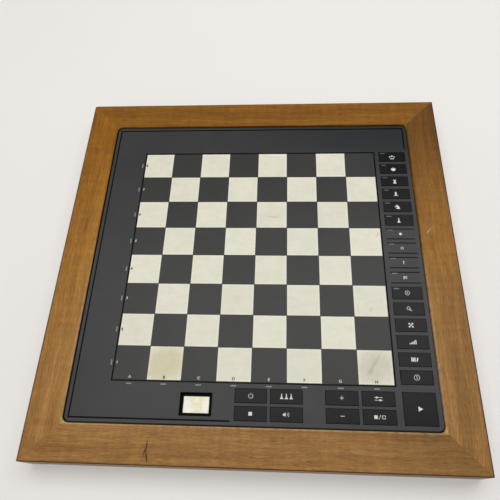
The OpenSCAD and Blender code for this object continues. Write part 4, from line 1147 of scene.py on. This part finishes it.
class CHESS_OT_stage(bpy.types.Operator):
    """Set up the floor, the wall round it, the light and the camera"""

    bl_idname = "chess.stage"
    bl_label = "Stage"

    def execute(self, context):
        look = context.scene.chess_stage
        self.floor(look)
        self.light(context.scene, look)
        self.camera(context.scene, look)
        return {"FINISHED"}

    def floor(self, look):
        """A round floor that curves up into a wall well away from the object."""
        flat, bend, top, sides = 2.2, 0.8, 2.0, 96
        profile = [(0.6, 0), (1.4, 0), *arc(flat, bend, bend, -math.pi / 2, 0, 13), (flat + bend, top)]
        mesh = bmesh.new()
        hub = mesh.verts.new((0, 0, 0))
        rings = [[mesh.verts.new((x, y, height)) for x, y in circle(0, 0, radius, sides)]
                 for radius, height in profile]
        for i in range(sides):
            mesh.faces.new((hub, rings[0][i - 1], rings[0][i]))
        for lower, upper in zip(rings, rings[1:]):
            band(mesh, lower, upper)
        f = Finish("floor_paper", 0.75, 0.2)
        f.set("Base Color", f.tint(look.floor, f.noise(f.place, 3, 4), 0.97, 1.02))
        f.bump(f.noise(f.place, 700, 3), 0.02 * MM)
        self.paler_shadow(f, look)
        floor = object_from(mesh, "floor", f)
        floor.data.shade_smooth()

    def paler_shadow(self, f, look):
        """Where the floor is seen, part of it shines by itself, so that the shadow on it stays light."""
        glow, share = 0.86, 0.38
        seen = f.add("ShaderNodeLightPath").outputs
        sight = f.most(seen["Is Camera Ray"], seen["Is Glossy Ray"], seen["Is Transmission Ray"])
        shine = f.add("ShaderNodeEmission", {"Color": tuple(look.floor), "Strength": glow})
        both = f.add("ShaderNodeMixShader", {
            "Fac": f.times(sight, share), 1: f.surface.outputs["BSDF"], 2: shine.outputs["Emission"]})
        f.feed(f.tree.nodes["Material Output"].inputs["Surface"], both.outputs["Shader"])

    def light(self, scene, look):
        """A large soft lamp overhead, a soft one in front, and a little light all round."""
        overhead_turn = math.radians(9.8)
        for name, power, size, place, aim, tint in (
                ("overhead", look.lamp_power, look.lamp_size, (0.247, 0.482, 1.63), None, (1, 0.985, 0.96)),
                ("fill", look.fill_power, (1.8, 1.2), (-0.35, -1.25, 1.7), (0, 0, 0), (1, 0.995, 0.985))):
            data = bpy.data.lights.new(name, "AREA")
            data.shape = "RECTANGLE"
            data.size, data.size_y = size
            data.energy = power
            data.color = tint
            lamp = bpy.data.objects.new(name, data)
            lamp.location = place
            lamp.rotation_euler = (0, 0, overhead_turn)
            if aim:
                lamp.rotation_euler = (Vector(aim) - Vector(place)).to_track_quat("-Z", "Y").to_euler()
            lamp.visible_camera = False
            scene.collection.objects.link(lamp)
        world = bpy.data.worlds.new("glow")
        world.use_nodes = True
        background = world.node_tree.nodes["Background"]
        background.inputs["Color"].default_value = (0.98, 0.99, 1.0, 1)
        background.inputs["Strength"].default_value = look.ambient
        scene.world = world
        scene.view_settings.view_transform = "Standard"

    def camera(self, scene, look):
        """The camera over the player's side of the board."""
        data = bpy.data.cameras.new("camera")
        data.sensor_width = 36
        data.lens = data.sensor_width / 2 / math.tan(look.camera_angle / 2)
        data.clip_start = 0.01
        camera = bpy.data.objects.new("camera", data)
        sight = Vector(look.camera_aim) - Vector(look.camera_place)
        camera.rotation_mode = "QUATERNION"
        camera.location = look.camera_place
        camera.rotation_quaternion = (sight.to_track_quat("-Z", "Y")
                                      @ Matrix.Rotation(look.camera_roll, 3, "Z").to_quaternion())
        scene.collection.objects.link(camera)
        scene.camera = camera


class CHESS_PT_sidebar(bpy.types.Panel):
    """Shows each section's settings and operators"""

    bl_label = "Chess Computer"
    bl_idname = "CHESS_PT_sidebar"
    bl_space_type = "VIEW_3D"
    bl_region_type = "UI"
    bl_category = "Chess Computer"

    def draw(self, context):
        for title, group, settings, operators in SECTIONS:
            box = self.layout.box()
            box.label(text=title)
            if settings:
                for name in settings.__annotations__:
                    box.prop(getattr(context.scene, group), name)
            for operator in operators:
                box.operator(operator.bl_idname)


# Title in the sidebar, name and class of the settings, operators
SECTIONS = (
    ("Surround", "chess_wood", WoodSettings, (CHESS_OT_surround,)),
    ("Plastic", "chess_plastic", PlasticSettings,
     (CHESS_OT_shells, CHESS_OT_keys, CHESS_OT_display)),
    ("Field", "chess_field", FieldSettings, (CHESS_OT_field,)),
    ("Prints", "chess_print", PrintSettings, (CHESS_OT_coordinates, CHESS_OT_status)),
    ("Lamps", "chess_lens", LensSettings, (CHESS_OT_lamps,)),
    ("Inside", None, None, (CHESS_OT_inside,)),
    ("Stage", "chess_stage", StageSettings, (CHESS_OT_stage,)),
)


def register():
    """Adds the settings, the operators and the panel."""
    for _, group, settings, operators in SECTIONS:
        if settings:
            bpy.utils.register_class(settings)
            setattr(bpy.types.Scene, group, bpy.props.PointerProperty(type=settings))
        for operator in operators:
            bpy.utils.register_class(operator)
    bpy.utils.register_class(CHESS_PT_sidebar)


def unregister():
    """Takes away what register adds."""
    bpy.utils.unregister_class(CHESS_PT_sidebar)
    for _, group, settings, operators in reversed(SECTIONS):
        for operator in reversed(operators):
            bpy.utils.unregister_class(operator)
        if settings:
            delattr(bpy.types.Scene, group)
            bpy.utils.unregister_class(settings)


def main():
    """Dresses the part."""
    register()
    bpy.ops.chess.surround()
    bpy.ops.chess.shells()
    bpy.ops.chess.field()
    bpy.ops.chess.coordinates()
    bpy.ops.chess.keys()
    bpy.ops.chess.status()
    bpy.ops.chess.lamps()
    bpy.ops.chess.display()
    bpy.ops.chess.inside()
    bpy.ops.chess.stage()


if __name__ == "__main__":
    main()
